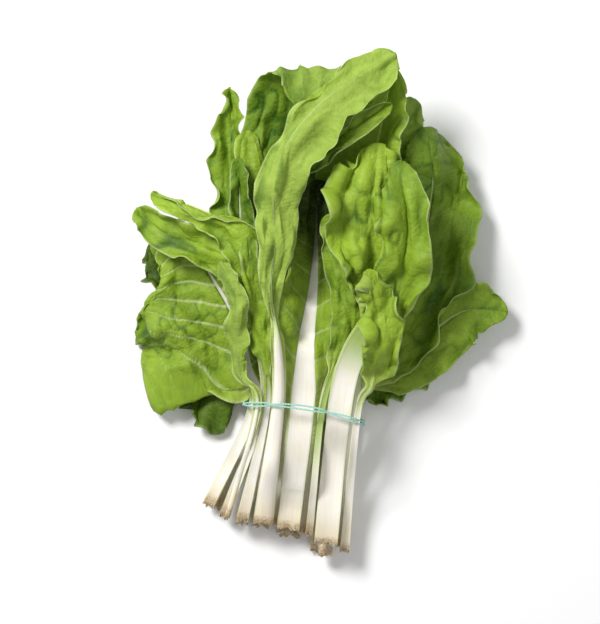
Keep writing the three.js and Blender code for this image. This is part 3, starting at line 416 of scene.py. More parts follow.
def station(leaf, r):
    """Share u of the spine's length and share t of the broad blade at row r."""
    t = np.clip((r - WING_ROWS) / (leaf.grid[0] - WING_ROWS), 0, 1)
    start, neck = leaf.start, leaf.neck
    wing = mix(start, neck, np.clip(r / WING_ROWS, 0, 1))
    u = np.where(r < 0, start * (1 + r / STALK_ROWS), np.where(r < WING_ROWS, wing, mix(neck, 1, t)))
    return u, t


def rib_end(leaf):
    return float(leaf.grid[0] - RIB_SHORT)


def outline(leaf, t):
    """The outline of a broad blade: 0 at the neck, 1 at its widest, smooth through the solid's rows."""
    rows = leaf.grid[0] - WING_ROWS
    at_rows = np.linspace(0, 1, rows + 1)
    slow = smooth(0, leaf.late, at_rows) if leaf.late else 1
    swell = np.sin(np.pi * (TIP_FULLNESS * at_rows) ** leaf.belly) ** SWELL_POWER
    return cubic(slow * swell, t * rows)


def half_width(leaf, side, r):
    last = leaf.wing[side]
    wing = mix(WING_START_WIDTH, last, np.clip(r / WING_ROWS, 0, 1))
    return wing + (leaf.wide[side] - last) * outline(leaf, station(leaf, r)[1])


def rib_size(leaf, u, cut, neck, end):
    """A size of the stalk and midrib at share u, which goes from cut through neck to end."""
    stop = station(leaf, np.array(rib_end(leaf)))[0]
    left = 1 - np.clip((u - leaf.neck) / (stop - leaf.neck), 0, 1)
    upper = end + (neck - end) * left ** leaf.taper
    return np.where(u < leaf.neck, mix(cut, neck, u / leaf.neck), upper)


def rib_width(leaf, u):
    return rib_size(leaf, u, *leaf.stalk[:2], RIB_END_WIDTH)


def rib_depth(leaf, u):
    thick = leaf.stalk[2]
    return rib_size(leaf, u, thick, RIB_SHARE * thick, RIB_END_DEPTH)


def section(leaf, side, t, s, steps):
    """How far the half blade has gone across and out at share s, in half widths, and its angle there."""
    def angle(share):
        bend = leaf.cup[side] * share + leaf.curl[side] * smooth(0.55, 1, share)
        return np.radians(through(leaf.fold[side], t) + bend * smooth(0, NECK_EASE, t))

    turns = angle((np.arange(steps)[None, :] + 0.5) / steps)
    sums = np.cumsum(np.stack([np.cos(turns), np.sin(turns)]), axis=2) / steps
    sums = np.concatenate([np.zeros(sums.shape[:2] + (1,)), sums], axis=2)
    reached = np.rint(s[0] * steps).astype(int)
    return sums[0][:, reached], sums[1][:, reached], angle(s)


def waves(leaf, side, t, s):
    """Waves of the margin, which fade towards the midrib, and broad dents of the whole half."""
    def phase(k):
        return 2 * np.pi * draw(leaf.seed, 10 * side + k)

    turn = 2 * np.pi * leaf.ruffle[1] * t
    ease = outline(leaf, t) * smooth(0, NECK_EASE, t)
    fade = ease * leaf.ruffle[0] * s**1.8
    dents = np.sin(2 * np.pi * (1.1 * t + 0.6 * s) + phase(3))
    dents = dents + np.sin(2 * np.pi * (2.3 * t - 0.9 * s) + phase(4))
    out = fade * (np.sin(turn + phase(1)) + 0.45 * np.sin(1.9 * turn + phase(2)))
    high, count = leaf.pleat
    pleats = np.sin(2 * np.pi * count * s + 1.2 * np.sin(5 * t + phase(5)) + phase(6))
    out = out + ease * np.sqrt(s) * (0.5 * leaf.crumple * dents + high * pleats)
    return out, 0.35 * fade * np.cos(turn + phase(1))


def hang_back(leaf, side, t, s):
    """How far, in mm, points lie back along the spine: the rounded tip, and a half that droops."""
    wide = leaf.wide
    lobe = np.sqrt(np.maximum(outline(leaf, t), 0)) * (1 - t) ** 4
    droop = leaf.droop[side] * wide[side] * lobe
    return s**2 * TIP_ROUNDING * max(wide) * t**5 + s * droop


def half_blade(leaf, side, r, s, gap, steps):
    """Points of the half blade's middle surface: r is a column of rows, s a row of shares to the margin."""
    u, t = station(leaf, r)
    bow = hang_back(leaf, side, t, s)
    place, along, out, right = leaf.line.at(u - bow / leaf.line.length)
    half = half_width(leaf, side, r)
    reach, rise, angle = section(leaf, side, t, s, steps)
    wave, sway = waves(leaf, side, t, s)
    sign = 1 if side else -1
    across = sign * (rib_width(leaf, u) / 2 + gap + half * reach - wave * np.sin(angle))
    height = half * rise + wave * np.cos(angle)
    return place + right * across[..., None] + out * height[..., None] + along * sway[..., None]


# The solid stalk's corners, as shares of half its width and of its depth.
STALK_SECTION = np.array([
    (-1, 0.05), (-0.75, -0.75), (0, -1), (0.75, -0.75), (1, 0.05), (0.4, -0.08), (-0.4, -0.08),
])


def grid_normals(points, middle):
    """Normals of a grid of points out of the leaf's face. Differences don't reach across the midrib."""
    rows, columns = points.shape[:2]
    c = np.arange(columns)
    low = np.where(c == middle, c, np.maximum(c - 1, 0))
    high = np.where(c == middle - 1, c, np.minimum(c + 1, columns - 1))
    r = np.arange(rows)
    across = points[:, high] - points[:, low]
    along = points[np.minimum(r + 1, rows - 1)] - points[np.maximum(r - 1, 0)]
    return unit(np.cross(across, along))


# ---- Lifts, read from the solids ----

MATCH = 0.03  # mm, seen from above, between a corner and the solid's points that belong to it
AGREE = 0.1  # mm by which the lifts of a corner's front and back may differ


def coarse_blade(leaf):
    """The front and back corners of the solid blade before it was lifted, (row, column, 3)."""
    rows, cols = leaf.grid
    r = np.arange(rows + 1.0)[:, None]
    s = np.arange(cols + 1)[None, :] / cols
    left, right = (half_blade(leaf, side, r, s, RIB_GAP, SECTION_STEPS) for side in (0, 1))
    points = np.concatenate([left[:, ::-1], right], axis=1)
    normals = grid_normals(points, cols + 1)
    return points + normals * BLADE_THICK / 2, points - normals * BLADE_THICK / 2


def coarse_stalk(leaf):
    """The corners of the solid stalk before it was lifted, (row, corner, 3)."""
    r = np.arange(-STALK_ROWS, rib_end(leaf) + 1)
    u = station(leaf, r)[0]
    u[-1] -= RIB_GAP / leaf.line.length
    place, _, out, right = (v[:, None, :] for v in leaf.line.at(u))
    across = STALK_SECTION[:, 0] * rib_width(leaf, u)[:, None] / 2
    depth = STALK_SECTION[:, 1] * rib_depth(leaf, u)[:, None]
    return place + right * across[..., None] + out * depth[..., None]


def lifts_of(corners, solid):
    """For each corner, the heights above it of the solid's points that share its place seen from above."""
    near = [np.hypot(*(solid[:, :2] - corner[:2]).T) < MATCH for corner in corners]
    return [solid[shared, 2] - corner[2] for shared, corner in zip(near, corners)]


def agreed(above_front, above_back):
    """The lift that a corner's front and back both have, or None."""
    if not len(above_front) or not len(above_back):
        return None
    apart = np.abs(above_front[:, None] - above_back[None, :])
    i, j = np.unravel_index(np.argmin(apart), apart.shape)
    return (above_front[i] + above_back[j]) / 2 if apart[i, j] < AGREE else None


def read_lifts(leaf):
    """The lift of every row and column, (row, column): rows from the cut, columns from the left margin."""
    rows, cols = leaf.grid
    lift = np.full((STALK_ROWS + rows + 1, 2 * cols + 1), np.nan)
    front, back = coarse_blade(leaf)
    solid = solid_points(leaf.name + "_blade")
    for r in range(rows + 1):
        above_front, above_back = lifts_of(front[r], solid), lifts_of(back[r], solid)
        for j in range(2 * cols + 2):
            value = agreed(above_front[j], above_back[j])
            if value is not None:
                lift[STALK_ROWS + r, j if j <= cols else j - 1] = value
    solid = solid_points(leaf.name + "_stalk")
    for i, ring in enumerate(coarse_stalk(leaf)):
        heights = np.concatenate(lifts_of(ring, solid))
        if len(heights):
            lift[i, cols] = np.median(heights)
    for column in (cols, *range(cols - 1, -1, -1), *range(cols + 1, 2 * cols + 1)):
        known = np.flatnonzero(~np.isnan(lift[:, column]))
        if len(known) < 2:
            lift[:, column] = lift[:, column + (1 if column < cols else -1)]
        else:
            lift[:, column] = np.interp(np.arange(len(lift)), known, lift[known, column])
    return lift


def solid_points(node):
    """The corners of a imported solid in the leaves' own millimetres."""
    mesh = next(o for o in bpy.context.scene.objects if o.get("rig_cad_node") == node).data
    points = np.empty(len(mesh.vertices) * 3)
    mesh.vertices.foreach_get("co", points)
    return points.reshape(-1, 3) / MM - OFFSET


for leaf in LEAVES:
    leaf.line = Spine(leaf.spine)
corners = [p.reshape(-1, 3) for leaf in LEAVES for p in (*coarse_blade(leaf), coarse_stalk(leaf))]
corners = np.concatenate(corners)
OFFSET = -(corners.min(axis=0) + corners.max(axis=0)) / 2 * (1, 1, 0)

# ---- Fine forms of a blade ----

FINE_ROWS = 7  # rows for each row of the solid
FINE_COLS = 9  # columns for each column of the solid
VEINS = 9  # side veins on a half blade
VEIN_SLANT = 0.62  # mm that a side vein goes along the leaf for each mm across
VEIN_BOW = 0.005  # how much more it does towards the margin
VEIN_WANDER = 2.5  # mm that it strays
VEIN_WIDE, VEIN_THIN, TWIG_WIDE = 1.6, 0.8, 0.8  # mm: side veins at the midrib and out, and their forks
VEIN_SUNK = 0.9  # mm
BULGE_HIGH, LUMP_HIGH = 2.0, 0.9  # mm that the lamina rises between side veins and between small ones
FOLD_HIGH, CREASE_HIGH, CRUMPLE_DEEP = 2.3, 1.5, 1.4  # mm
LIP_HIGH, FRILL_HIGH = 3.0, 0.9  # mm that the margin turns up here and there, and waves finely
FORK_FROM = 0.34  # share of the half blade at which the side veins fork
CELL = 7.0  # mm between the small veins
MARGIN = 1.3  # mm of thin pale margin
RIB_COVER = 0.3  # mm that the lamina lies over the midrib's edge
SEAM_ROW = 3.0  # row of the solid from which a seam is shut
SEAM_REACH = 3  # columns each side of a seam that are rounded
SEAM_PASSES = 3


def side_seed(leaf, side):
    return leaf.seed + 50 * side


def vein_map(leaf, side, m, x, s, length):
    """How much each point of a half blade is on a side vein, and how far it is from the nearest, in mm.
    m is how far it is along from the neck, x how far across from the midrib, s its share to the margin."""
    seed = side_seed(leaf, side)
    start = m - VEIN_SLANT * x - VEIN_BOW * x**2 + VEIN_WANDER * noise(x / 18, m / 60, seed)
    q = np.clip(start / length, -0.6, 0.99)
    index = VEINS * (1 - (1 - q) ** 0.8) + draw(seed, 5)
    pitch = length / (0.8 * VEINS) * (1 - q) ** 0.2
    forked = index - 0.5 * smooth(0.3, 0.75, s)
    off, fork = (np.abs(i - np.rint(i)) * pitch * 0.85 for i in (index, forked))
    wide = mix(VEIN_WIDE, VEIN_THIN, smooth(0, 0.8, s))
    main = np.exp(-((off / wide) ** 2)) * (1 - 0.6 * smooth(0.7, 1, s))
    twig = np.exp(-((fork / TWIG_WIDE) ** 2)) * smooth(0.3, 0.4, s) * (1 - smooth(0.8, 1, s)) * 0.7
    return np.maximum(main, twig), np.minimum(off, np.where(s > FORK_FROM, fork, off))


def ridges(x, y, seed):
    """1 along winding lines about a unit apart, falling to -1 between them."""
    return 1 - 2 * np.abs(noise(x, y, seed))


def relief(leaf, side, m, lie, x, s, t, half, length):
    """Height in mm of the fine forms on the leaf's face, its veins, and how deep in a crease each point is,
    by which the material paints shade in creases and light on ridges.
    Lie is m less what a point hangs back. The numbers under x, m and lie are the sizes of the forms in mm."""
    seed = side_seed(leaf, side)
    vein, off = vein_map(leaf, side, m, x, s, length)
    vein = vein * smooth(35, 12, m - lie)
    broad = smooth(0.0, 0.12, t)
    bulge = BULGE_HIGH * (1 - np.exp(-((off / 6) ** 2)))
    lumps = LUMP_HIGH * np.minimum(cells(lie / CELL, x / CELL, seed), 0.6)
    folds = ridges(x / 13 + 0.4 * noise(lie / 30, x / 30, seed + 3), lie / 48, seed + 7)
    creases = ridges(lie / 19 + 0.5 * noise(x / 20, lie / 25, seed + 4), x / 30, seed + 9)
    crumple = ridges(x / 9 + 0.6 * noise(lie / 14, x / 14, seed + 10), lie / 17, seed + 11)
    crumple = crumple * mix(0.35, 1, smooth(-0.6, 0.4, noise(x / 35, lie / 50, seed + 12)))
    lip = np.maximum(noise(m / 15, 0 * x + seed, seed + 5), 0) * smooth(7, 0, half - x)
    frill = noise(m / 8, x / 20, seed + 6) * s**4
    height = leaf.quilt * broad * (bulge + lumps - VEIN_SUNK * vein) * smooth(0, 1.5, x)
    rough = FOLD_HIGH * folds + CREASE_HIGH * creases - CRUMPLE_DEEP * crumple
    height = height + leaf.folds * broad * rough * np.sqrt(s)
    # How deep a point lies in a crease: the material paints shade there and light on the ridges
    hollow = 0.65 * smooth(0.1, 1, crumple) + 0.35 * smooth(0.5, -0.8, folds)
    hollow = hollow * broad * min(leaf.folds / 1.4, 1)
    return height + broad * (LIP_HIGH * lip + FRILL_HIGH * frill), vein, hollow


def seam_row(leaf):
    """The row from which the two halves meet over the midrib: its end, or soon after the neck."""
    return SEAM_ROW if leaf.seam else rib_end(leaf)


def round_seam(points, middle, closing):
    """Rounds the crease where the halves of a grid meet over the midrib."""
    for _ in range(SEAM_PASSES):
        band = points[:, middle - SEAM_REACH - 1 : middle + SEAM_REACH + 1]
        eased = (band[:, :-2] + 2 * band[:, 1:-1] + band[:, 2:]) / 4
        points[:, middle - SEAM_REACH : middle + SEAM_REACH] = mix(band[:, 1:-1], eased, closing[..., None])


def fine_normals(points, middle, closing):
    """Normals of a fine grid, which is one sheet from margin to margin where its seam is shut."""
    return unit(mix(grid_normals(points, middle), grid_normals(points, -1), closing[..., None]))


def fine_blade(leaf, lift):
    """The fine blade's middle surface on one grid from margin to margin, the column where its right half
    starts, the rows of the solid, and what its material needs."""
    line = leaf.line
    coarse_rows, coarse_cols = leaf.grid
    rows, cols = coarse_rows * int(FINE_ROWS * leaf.fine), coarse_cols * int(FINE_COLS * leaf.fine)
    middle = cols + 1
    r = np.linspace(0, coarse_rows, rows + 1)[:, None]
    s = np.linspace(0, 1, cols + 1)[None, :]
    u, t = station(leaf, r)
    shut = seam_row(leaf)
    closing = smooth(shut - 0.5, shut + 0.7, r)
    gap = mix(-RIB_COVER, -rib_width(leaf, u) / 2, closing)
    m = (u - leaf.neck) * line.length + 0 * s
    broad_length = (1 - leaf.neck) * line.length
    row_lifts = cubic(lift, (r + STALK_ROWS)[:, 0])
    halves = []
    for side in (0, 1):
        sign = 2 * side - 1
        half = half_width(leaf, side, r)
        points = half_blade(leaf, side, r, s, gap, cols)
        points[..., 2] += cubic(row_lifts.T, ((sign * s + 1) * coarse_cols)[0]).T
        x = s * half
        lie = m - hang_back(leaf, side, t, s)
        height, vein, hollow = relief(leaf, side, m, lie, x, s + 0 * m, t + 0 * s, half, broad_length)
        edge = smooth(MARGIN, 0.3, half - x)
        fields = dict(points=points, height=height, vein=vein, hollow=hollow, edge=edge, x=sign * x, m=lie)
        halves.append({key: v if side else v[:, ::-1] for key, v in fields.items()})
    facts = {key: np.concatenate([half[key] for half in halves], axis=1) for key in halves[0]}
    points, height = facts.pop("points"), facts.pop("height")
    points += fine_normals(points, middle, closing) * height[..., None]
    round_seam(points, middle, closing)
    facts["closing"] = closing
    facts["t"] = t + 0 * facts["x"] - smooth(WING_ROWS, 0, r)
    return points, middle, r, facts


# ---- Settling the fine leaves on one another ----

PILE_CELL = 1.6
PILE_SIDE = 360
PILE_REACH = 3
SETTLE_PASSES = 3
SETTLE_GAP = 0.8
MOST_RAISE = 6.0
pile = np.full((PILE_SIDE, PILE_SIDE), -10.0)


def pile_index(points):
    y, x = (points[..., i] / PILE_CELL + PILE_SIDE / 2 for i in (1, 0))
    return tuple(np.clip(v.astype(int), 0, PILE_SIDE - 1) for v in (y, x))


def combined(grid, combine):
    """For each point of a grid, the values within PILE_REACH rows and columns combined into one."""
    for axis in (0, 1):
        padding = [(PILE_REACH * (a == axis),) * 2 for a in (0, 1)]
        padded = np.pad(grid, padding, mode="edge")
        count = grid.shape[axis]
        shifted = [padded.take(range(k, k + count), axis=axis) for k in range(2 * PILE_REACH + 1)]
        grid = combine(shifted, axis=0)
    return grid


def settle(points):
    """Raises a grid of points clear of the pile, and says by how much."""
    raised = np.zeros(points.shape[:2])
    for _ in range(SETTLE_PASSES):
        need = np.maximum(pile[pile_index(points)] + SETTLE_GAP - points[..., 2] - raised, 0)
        raised += combined(combined(need, np.max), np.mean)
    raised = np.minimum(raised, MOST_RAISE)
    points[..., 2] += raised
    return raised


def pile_up(points):
    """Adds a grid of points, and the middles of its squares and their sides, to the pile."""
    middles = (points[1:, 1:] + points[:-1, 1:] + points[1:, :-1] + points[:-1, :-1]) / 4
    for p in (points, middles, (points[1:] + points[:-1]) / 2, (points[:, 1:] + points[:, :-1]) / 2):
        np.maximum.at(pile, pile_index(p), p[..., 2])


# ---- Meshes ----

EDGE_THICK = 0.5  # mm of the blade at its margin
SEED_STEP = 37.0  # mm between the places of leaves in the materials, so that no two are alike


def make_piece(name, points, faces, facts, material, node):
    """A mesh piece from points in mm. Facts are numbers, or triples, for each point, for its material."""
    mesh = bpy.data.meshes.new(name)
    mesh.from_pydata(((points + OFFSET) * MM).tolist(), [], [f.tolist() for f in faces], shade_flat=False)
    for key, values in facts.items():
        triple = np.ndim(values) == 2
        layer = mesh.attributes.new(key, "FLOAT_VECTOR" if triple else "FLOAT", "POINT")
        layer.data.foreach_set("vector" if triple else "value", np.ravel(values))
    mesh.validate()
    mesh.materials.append(material)
    piece = bpy.data.objects.new(name, mesh)
    bpy.context.collection.objects.link(piece)
    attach(piece, "root")
    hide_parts(node)
    return piece


def sheet(points, normals, thick, keep):
    """Both faces of a sheet and a wall along its open edges, from a grid and the squares that it has."""
    rows, columns = points.shape[:2]
    index = np.arange(rows * columns).reshape(rows, columns)
    squares = np.stack([index[:-1, :-1], index[:-1, 1:], index[1:, 1:], index[1:, :-1]], axis=-1)[keep]
    count = rows * columns
    edges = np.concatenate([squares[:, [k, (k + 1) % 4]] for k in range(4)])
    code, back = edges[:, 0] * count + edges[:, 1], edges[:, 1] * count + edges[:, 0]
    start, end = edges[~np.isin(code, back)].T
    walls = np.stack([end, start, start + count, end + count], axis=-1)
    offset = normals * thick[..., None] / 2
    both = np.concatenate([(points + offset).reshape(-1, 3), (points - offset).reshape(-1, 3)])
    return both, np.concatenate([squares, squares[:, ::-1] + count, walls])


def painted_shade_at(leaf, t):
    """How much painted shade darkens a leaf at share t of its broad blade."""
    return np.interp(t, (0.35, 0.85), leaf.dark)


def blade_piece(leaf, points, middle, r, facts):
    """The blade as a thin closed mesh, slit over the midrib up to the row where its halves meet."""
    keep = np.ones((points.shape[0] - 1, points.shape[1] - 1), bool)
    keep[r[:-1, 0] < seam_row(leaf), middle - 1] = False
    normals = fine_normals(points, middle, facts["closing"])
    both, faces = sheet(points, normals, mix(BLADE_THICK, EDGE_THICK, facts["edge"]), keep)
    both[:, 2] = np.maximum(both[:, 2], 0)
    x = facts["x"].ravel()
    place = np.stack([x, facts["m"].ravel(), np.full(len(x), leaf.seed * SEED_STEP)], axis=-1)
    # hollow carries how deep in a crease a point lies, for painted shade and light
    twice = {key: np.tile(facts[key].ravel(), 2) for key in ("vein", "edge", "t", "hollow")}
    twice["vein"] = twice["vein"] * leaf.veins
    twice["place"] = np.tile(place, (2, 1))
    twice["back"] = np.repeat([0.0, 1.0], len(x))
    twice["tone"] = np.full(2 * len(x), leaf.tone)
    # How far painted shade darkens each point of a blade that lies deep inside the bunch
    twice["dark"] = painted_shade_at(leaf, twice["t"])
    piece = make_piece(leaf.name + "_leaf", both, faces, twice, blade_material, leaf.name + "_blade")


# ---- Stalks ----

AROUND = 36
RIB_HIGH, BUMP_HIGH = 0.22, 0.3  # mm of the ribs behind a stalk 6 mm thick, and of its bumps
RIBS = 14
RINGS_PER_ROW = 6
STALK_SAMPLES = 100  # samples of a spine that are surely past the tie
SEAM_RIB = 0.45  # share of its width that a midrib keeps where the halves meet over it
TROUGH_RIM, TROUGH_DEPTH = 0.06, 0.16  # heights in front, as shares of the stalk's thickness
RAGGED = 9  # mm from the cut over which the ragged end fades
STAINED = 34  # mm from the cut over which the stalk is a little stained
STALK_LOW, STALK_HIGH = 8, 30  # heights of the cut, between which its brown end gets shorter
BROWN_LOW, BROWN_HIGH = 30, 13  # mm of brown at those heights
CAP_RING = 0.55  # size of the ring inside the cut, as a share of the cut
CAP_DEEP, CAP_DEEPEST = 0.8, 1.4  # mm that the cut is hollow at that ring and at its middle


def fine_section(leaf, r, u, m, angle):
    """The share of the half width at every angle, and how far the ribbed surface is across and out, in mm."""
    seed = leaf.seed
    across = np.sign(np.cos(angle)) * np.abs(np.cos(angle)) ** 0.8
    behind = -np.abs(np.sin(angle)) ** 0.75
    front = TROUGH_RIM - TROUGH_DEPTH * (1 - across**2)
    thick = rib_depth(leaf, u)[:, None]
    swell = 1 + 0.02 * noise(m / 35, 0 * m + 0.5, seed + 2)
    depth = np.where(np.sin(angle) < 0, behind, front) * thick * swell
    wide = rib_width(leaf, u)[:, None] / 2 * swell
    ribs = RIB_HIGH * np.cos(RIBS * angle + 0.5 * noise(m / 60, angle, seed))
    ribs = (ribs + BUMP_HIGH * noise(m / 22, angle * 2, seed + 1)) * (thick / 6)
    if leaf.seam:
        sunk = smooth(SEAM_ROW - 0.8, SEAM_ROW + 0.6, r)[:, None]
        depth = mix(depth, np.maximum(depth, -leaf.seam) - 0.3 * leaf.seam, sunk)
        wide, ribs = wide * mix(1, SEAM_RIB, sunk), ribs * (1 - sunk)
    return across, across * (wide + ribs * 0.5), depth - ribs * 0.5 * np.sin(angle) ** 2 * (depth < 0)


def stalk_faces(points, along):
    """The points inside the hollow cut, and the faces of the rings, the cut and the end of the midrib."""
    index = np.arange(len(points) * AROUND).reshape(-1, AROUND)
    after = np.roll(index, -1, axis=1)
    walls = np.stack([index[:-1], index[1:], after[1:], after[:-1]], axis=-1).reshape(-1, 4)
    centre = points[0].mean(axis=0)
    inner = (points[0] - centre) * CAP_RING + centre + along[0] * CAP_DEEP
    inside = np.concatenate([inner, centre + along[0] * CAP_DEEPEST])
    ring = index.size + np.arange(AROUND)
    cap = [*np.stack([index[0], after[0], np.roll(ring, -1), ring], axis=-1)]
    cap += [np.array([a, b, index.size + AROUND]) for a, b in zip(ring, np.roll(ring, -1))]
    return inside, [*walls, *cap, index[-1][::-1]]


def stalk_facts(leaf, r, m, angle, across, inside):
    """What the stalk's material needs at the points of its rings and at those inside the cut."""
    def each(values, at_cut):
        on_rings = np.broadcast_to(values, (len(r), AROUND)).ravel()
        return np.concatenate([on_rings, np.full(len(inside), at_cut)])

    seed, line = leaf.seed, leaf.line
    u, t = station(leaf, r)
    browned = np.interp(line.places[0, 2], (STALK_LOW, STALK_HIGH), (BROWN_LOW, BROWN_HIGH))
    past = slice(STALK_SAMPLES)
    tie_share = np.interp(TIE_CENTRE[1], line.places[past, 1], line.reach[past] / line.length)
    green_from, green_to = (mix(tie_share, 1, share) for share in leaf.green)
    place = (each(angle * 8, inside[:, 0]), each(m, inside[:, 1]), each(seed * SEED_STEP, seed))
    return {
        "place": np.column_stack(place),
        "cut": each(smooth(browned, 0, m) ** 1.5, 1.0),
        "low": each(smooth(STAINED, 0, m), 1.0),
        "green": each(smooth(green_from, green_to, u)[:, None], 0.0),
        # Painted shade: the midrib darkens with its blade deep inside the bunch
        "dark": each(painted_shade_at(leaf, t)[:, None], 0.0),
        "side": each(np.abs(across), 0.0),
        "tone": each(leaf.tone, leaf.tone),
    }


def stalk_piece(leaf, lift, raised):
    """The stalk and midrib: ribbed behind, a shallow trough in front, with a ragged cut."""
    seed = leaf.seed
    r = np.linspace(-STALK_ROWS, rib_end(leaf), round(STALK_ROWS + rib_end(leaf)) * RINGS_PER_ROW + 1)
    u = station(leaf, r)[0]
    m = (u * leaf.line.length)[:, None]
    angle = 2 * np.pi * np.arange(AROUND) / AROUND
    place, along, out, right = (v[:, None, :] for v in leaf.line.at(u))
    across, sideways, outwards = fine_section(leaf, r, u, m, angle)
    points = place + right * sideways[..., None] + out * outwards[..., None]
    ragged = 1.9 * noise(angle * 2.2 + seed, 0 * angle, seed + 4)
    ragged = ragged + 1.3 * noise(angle * 7, 0 * angle, seed + 5)
    points = points + along * (ragged * smooth(RAGGED, 0, m))[..., None]
    points[..., 2] += (cubic(lift[:, leaf.grid[1]], r + STALK_ROWS) + np.interp(r, *raised))[:, None]
    points[..., 2] = np.maximum(points[..., 2], 0)
    inside, faces = stalk_faces(points, along)
    facts = stalk_facts(leaf, r, m, angle, across, inside)
    both = np.concatenate([points.reshape(-1, 3), inside])
    piece = make_piece(leaf.name + "_rib", both, faces, facts, stalk_material, leaf.name + "_stalk")
    return points


# ---- The tie ----

TIE_TURNS = 2
TIE_STEPS = 28
TIE_CENTRE = np.array([-12.0, -83.0, 0.0])
TIE_NORMAL = unit(np.array([0.15, 0.99, 0.0]))
TIE_ACROSS = np.array([TIE_NORMAL[1], -TIE_NORMAL[0], 0.0])
TIE_SPREAD = 1.5
TIE_CROSSINGS = 3
TIE_BOW = 6.0  # mm that the tie rises over the middle stalks
TIE_LOW = 2.5  # mm of it below the middle plane, at both ends
STRAND_RADIUS = 0.46
TWIST_RADIUS = 0.36
TWIST_PITCH = 3.2
STRAND_POINTS = 760
STRAND_SIDES = 7
PLY_STEP, TURN_STEP = 9, 20  # mm between the places of plies and turns in the material


def tie_line():
    """The middle line of the solid tie as (across, up), from its corners taken in turn about their middle."""
    points = np.unique(np.round(solid_points("tie"), 3), axis=0) - TIE_CENTRE
    flat = np.column_stack([points @ TIE_ACROSS, points[:, 2]])
    arms = flat - (flat.min(axis=0) + flat.max(axis=0)) / 2
    order = np.argsort(np.arctan2(arms[:, 1], arms[:, 0]))
    groups = np.array_split(flat[order], TIE_STEPS)
    return np.array([g.mean(axis=0) for g in groups])


def tie_piece():
    """Two turns of the tie, which cross on their way round, each twisted from two strands."""
    line = tie_line()
    padded = np.vstack([line[-1:], line, line[:2]])
    share = np.arange(STRAND_POINTS) / STRAND_POINTS
    flat = cubic(padded, 1 + share * TIE_STEPS)
    length = np.linalg.norm(np.diff(np.vstack([flat, flat[:1]]), axis=0), axis=1).sum()
    points, faces, places = [], [], []
    twists = round(length / TWIST_PITCH)
    angle = 2 * np.pi * np.arange(STRAND_SIDES) / STRAND_SIDES
    for turn in range(TIE_TURNS):
        wave = (1 - 2 * turn) * TIE_SPREAD * np.sin(2 * np.pi * TIE_CROSSINGS * share)
        wave = wave + TIE_BOW * (1 - (flat[:, 0] / np.abs(flat[:, 0]).max()) ** 2) - TIE_LOW
        centre = TIE_CENTRE + flat[:, :1] * TIE_ACROSS + wave[:, None] * TIE_NORMAL
        centre[:, 2] = flat[:, 1]
        along = unit(np.roll(centre, -1, axis=0) - np.roll(centre, 1, axis=0))
        up = unit(TIE_NORMAL - along * (along @ TIE_NORMAL)[:, None])
        outward = np.cross(along, up)
        ring = outward[:, None] * np.cos(angle)[:, None] + up[:, None] * np.sin(angle)[:, None]
        for ply in (0, 1):
            lay = 2 * np.pi * (twists * share + ply / 2)
            middle = centre + TWIST_RADIUS * (np.cos(lay)[:, None] * outward + np.sin(lay)[:, None] * up)
            index = np.arange(STRAND_POINTS * STRAND_SIDES).reshape(STRAND_POINTS, -1) + sum(map(len, points))
            beside = np.roll(index, -1, axis=1)
            corners = (index, beside, np.roll(beside, -1, axis=0), np.roll(index, -1, axis=0))
            faces.append(np.stack(corners, axis=-1).reshape(-1, 4))
            points.append((middle[:, None] + STRAND_RADIUS * ring).reshape(-1, 3))
            place = (angle + PLY_STEP * ply, share[:, None] * length, TURN_STEP * turn)
            places.append(np.stack(np.broadcast_arrays(*place), axis=-1).reshape(-1, 3))
    points, faces, places = (np.concatenate(parts) for parts in (points, faces, places))
    piece = make_piece("tie_strands", points, faces, {"place": places}, tie_material, "tie")


# ---- Materials ----

def colour(code):
    """An sRGB colour such as #7FA637 as the linear colour that nodes take."""
    parts = [int(code[i:i + 2], 16) / 255 for i in (1, 3, 5)]
    return (*(p / 12.92 if p <= 0.04045 else ((p + 0.055) / 1.055) ** 2.4 for p in parts), 1)


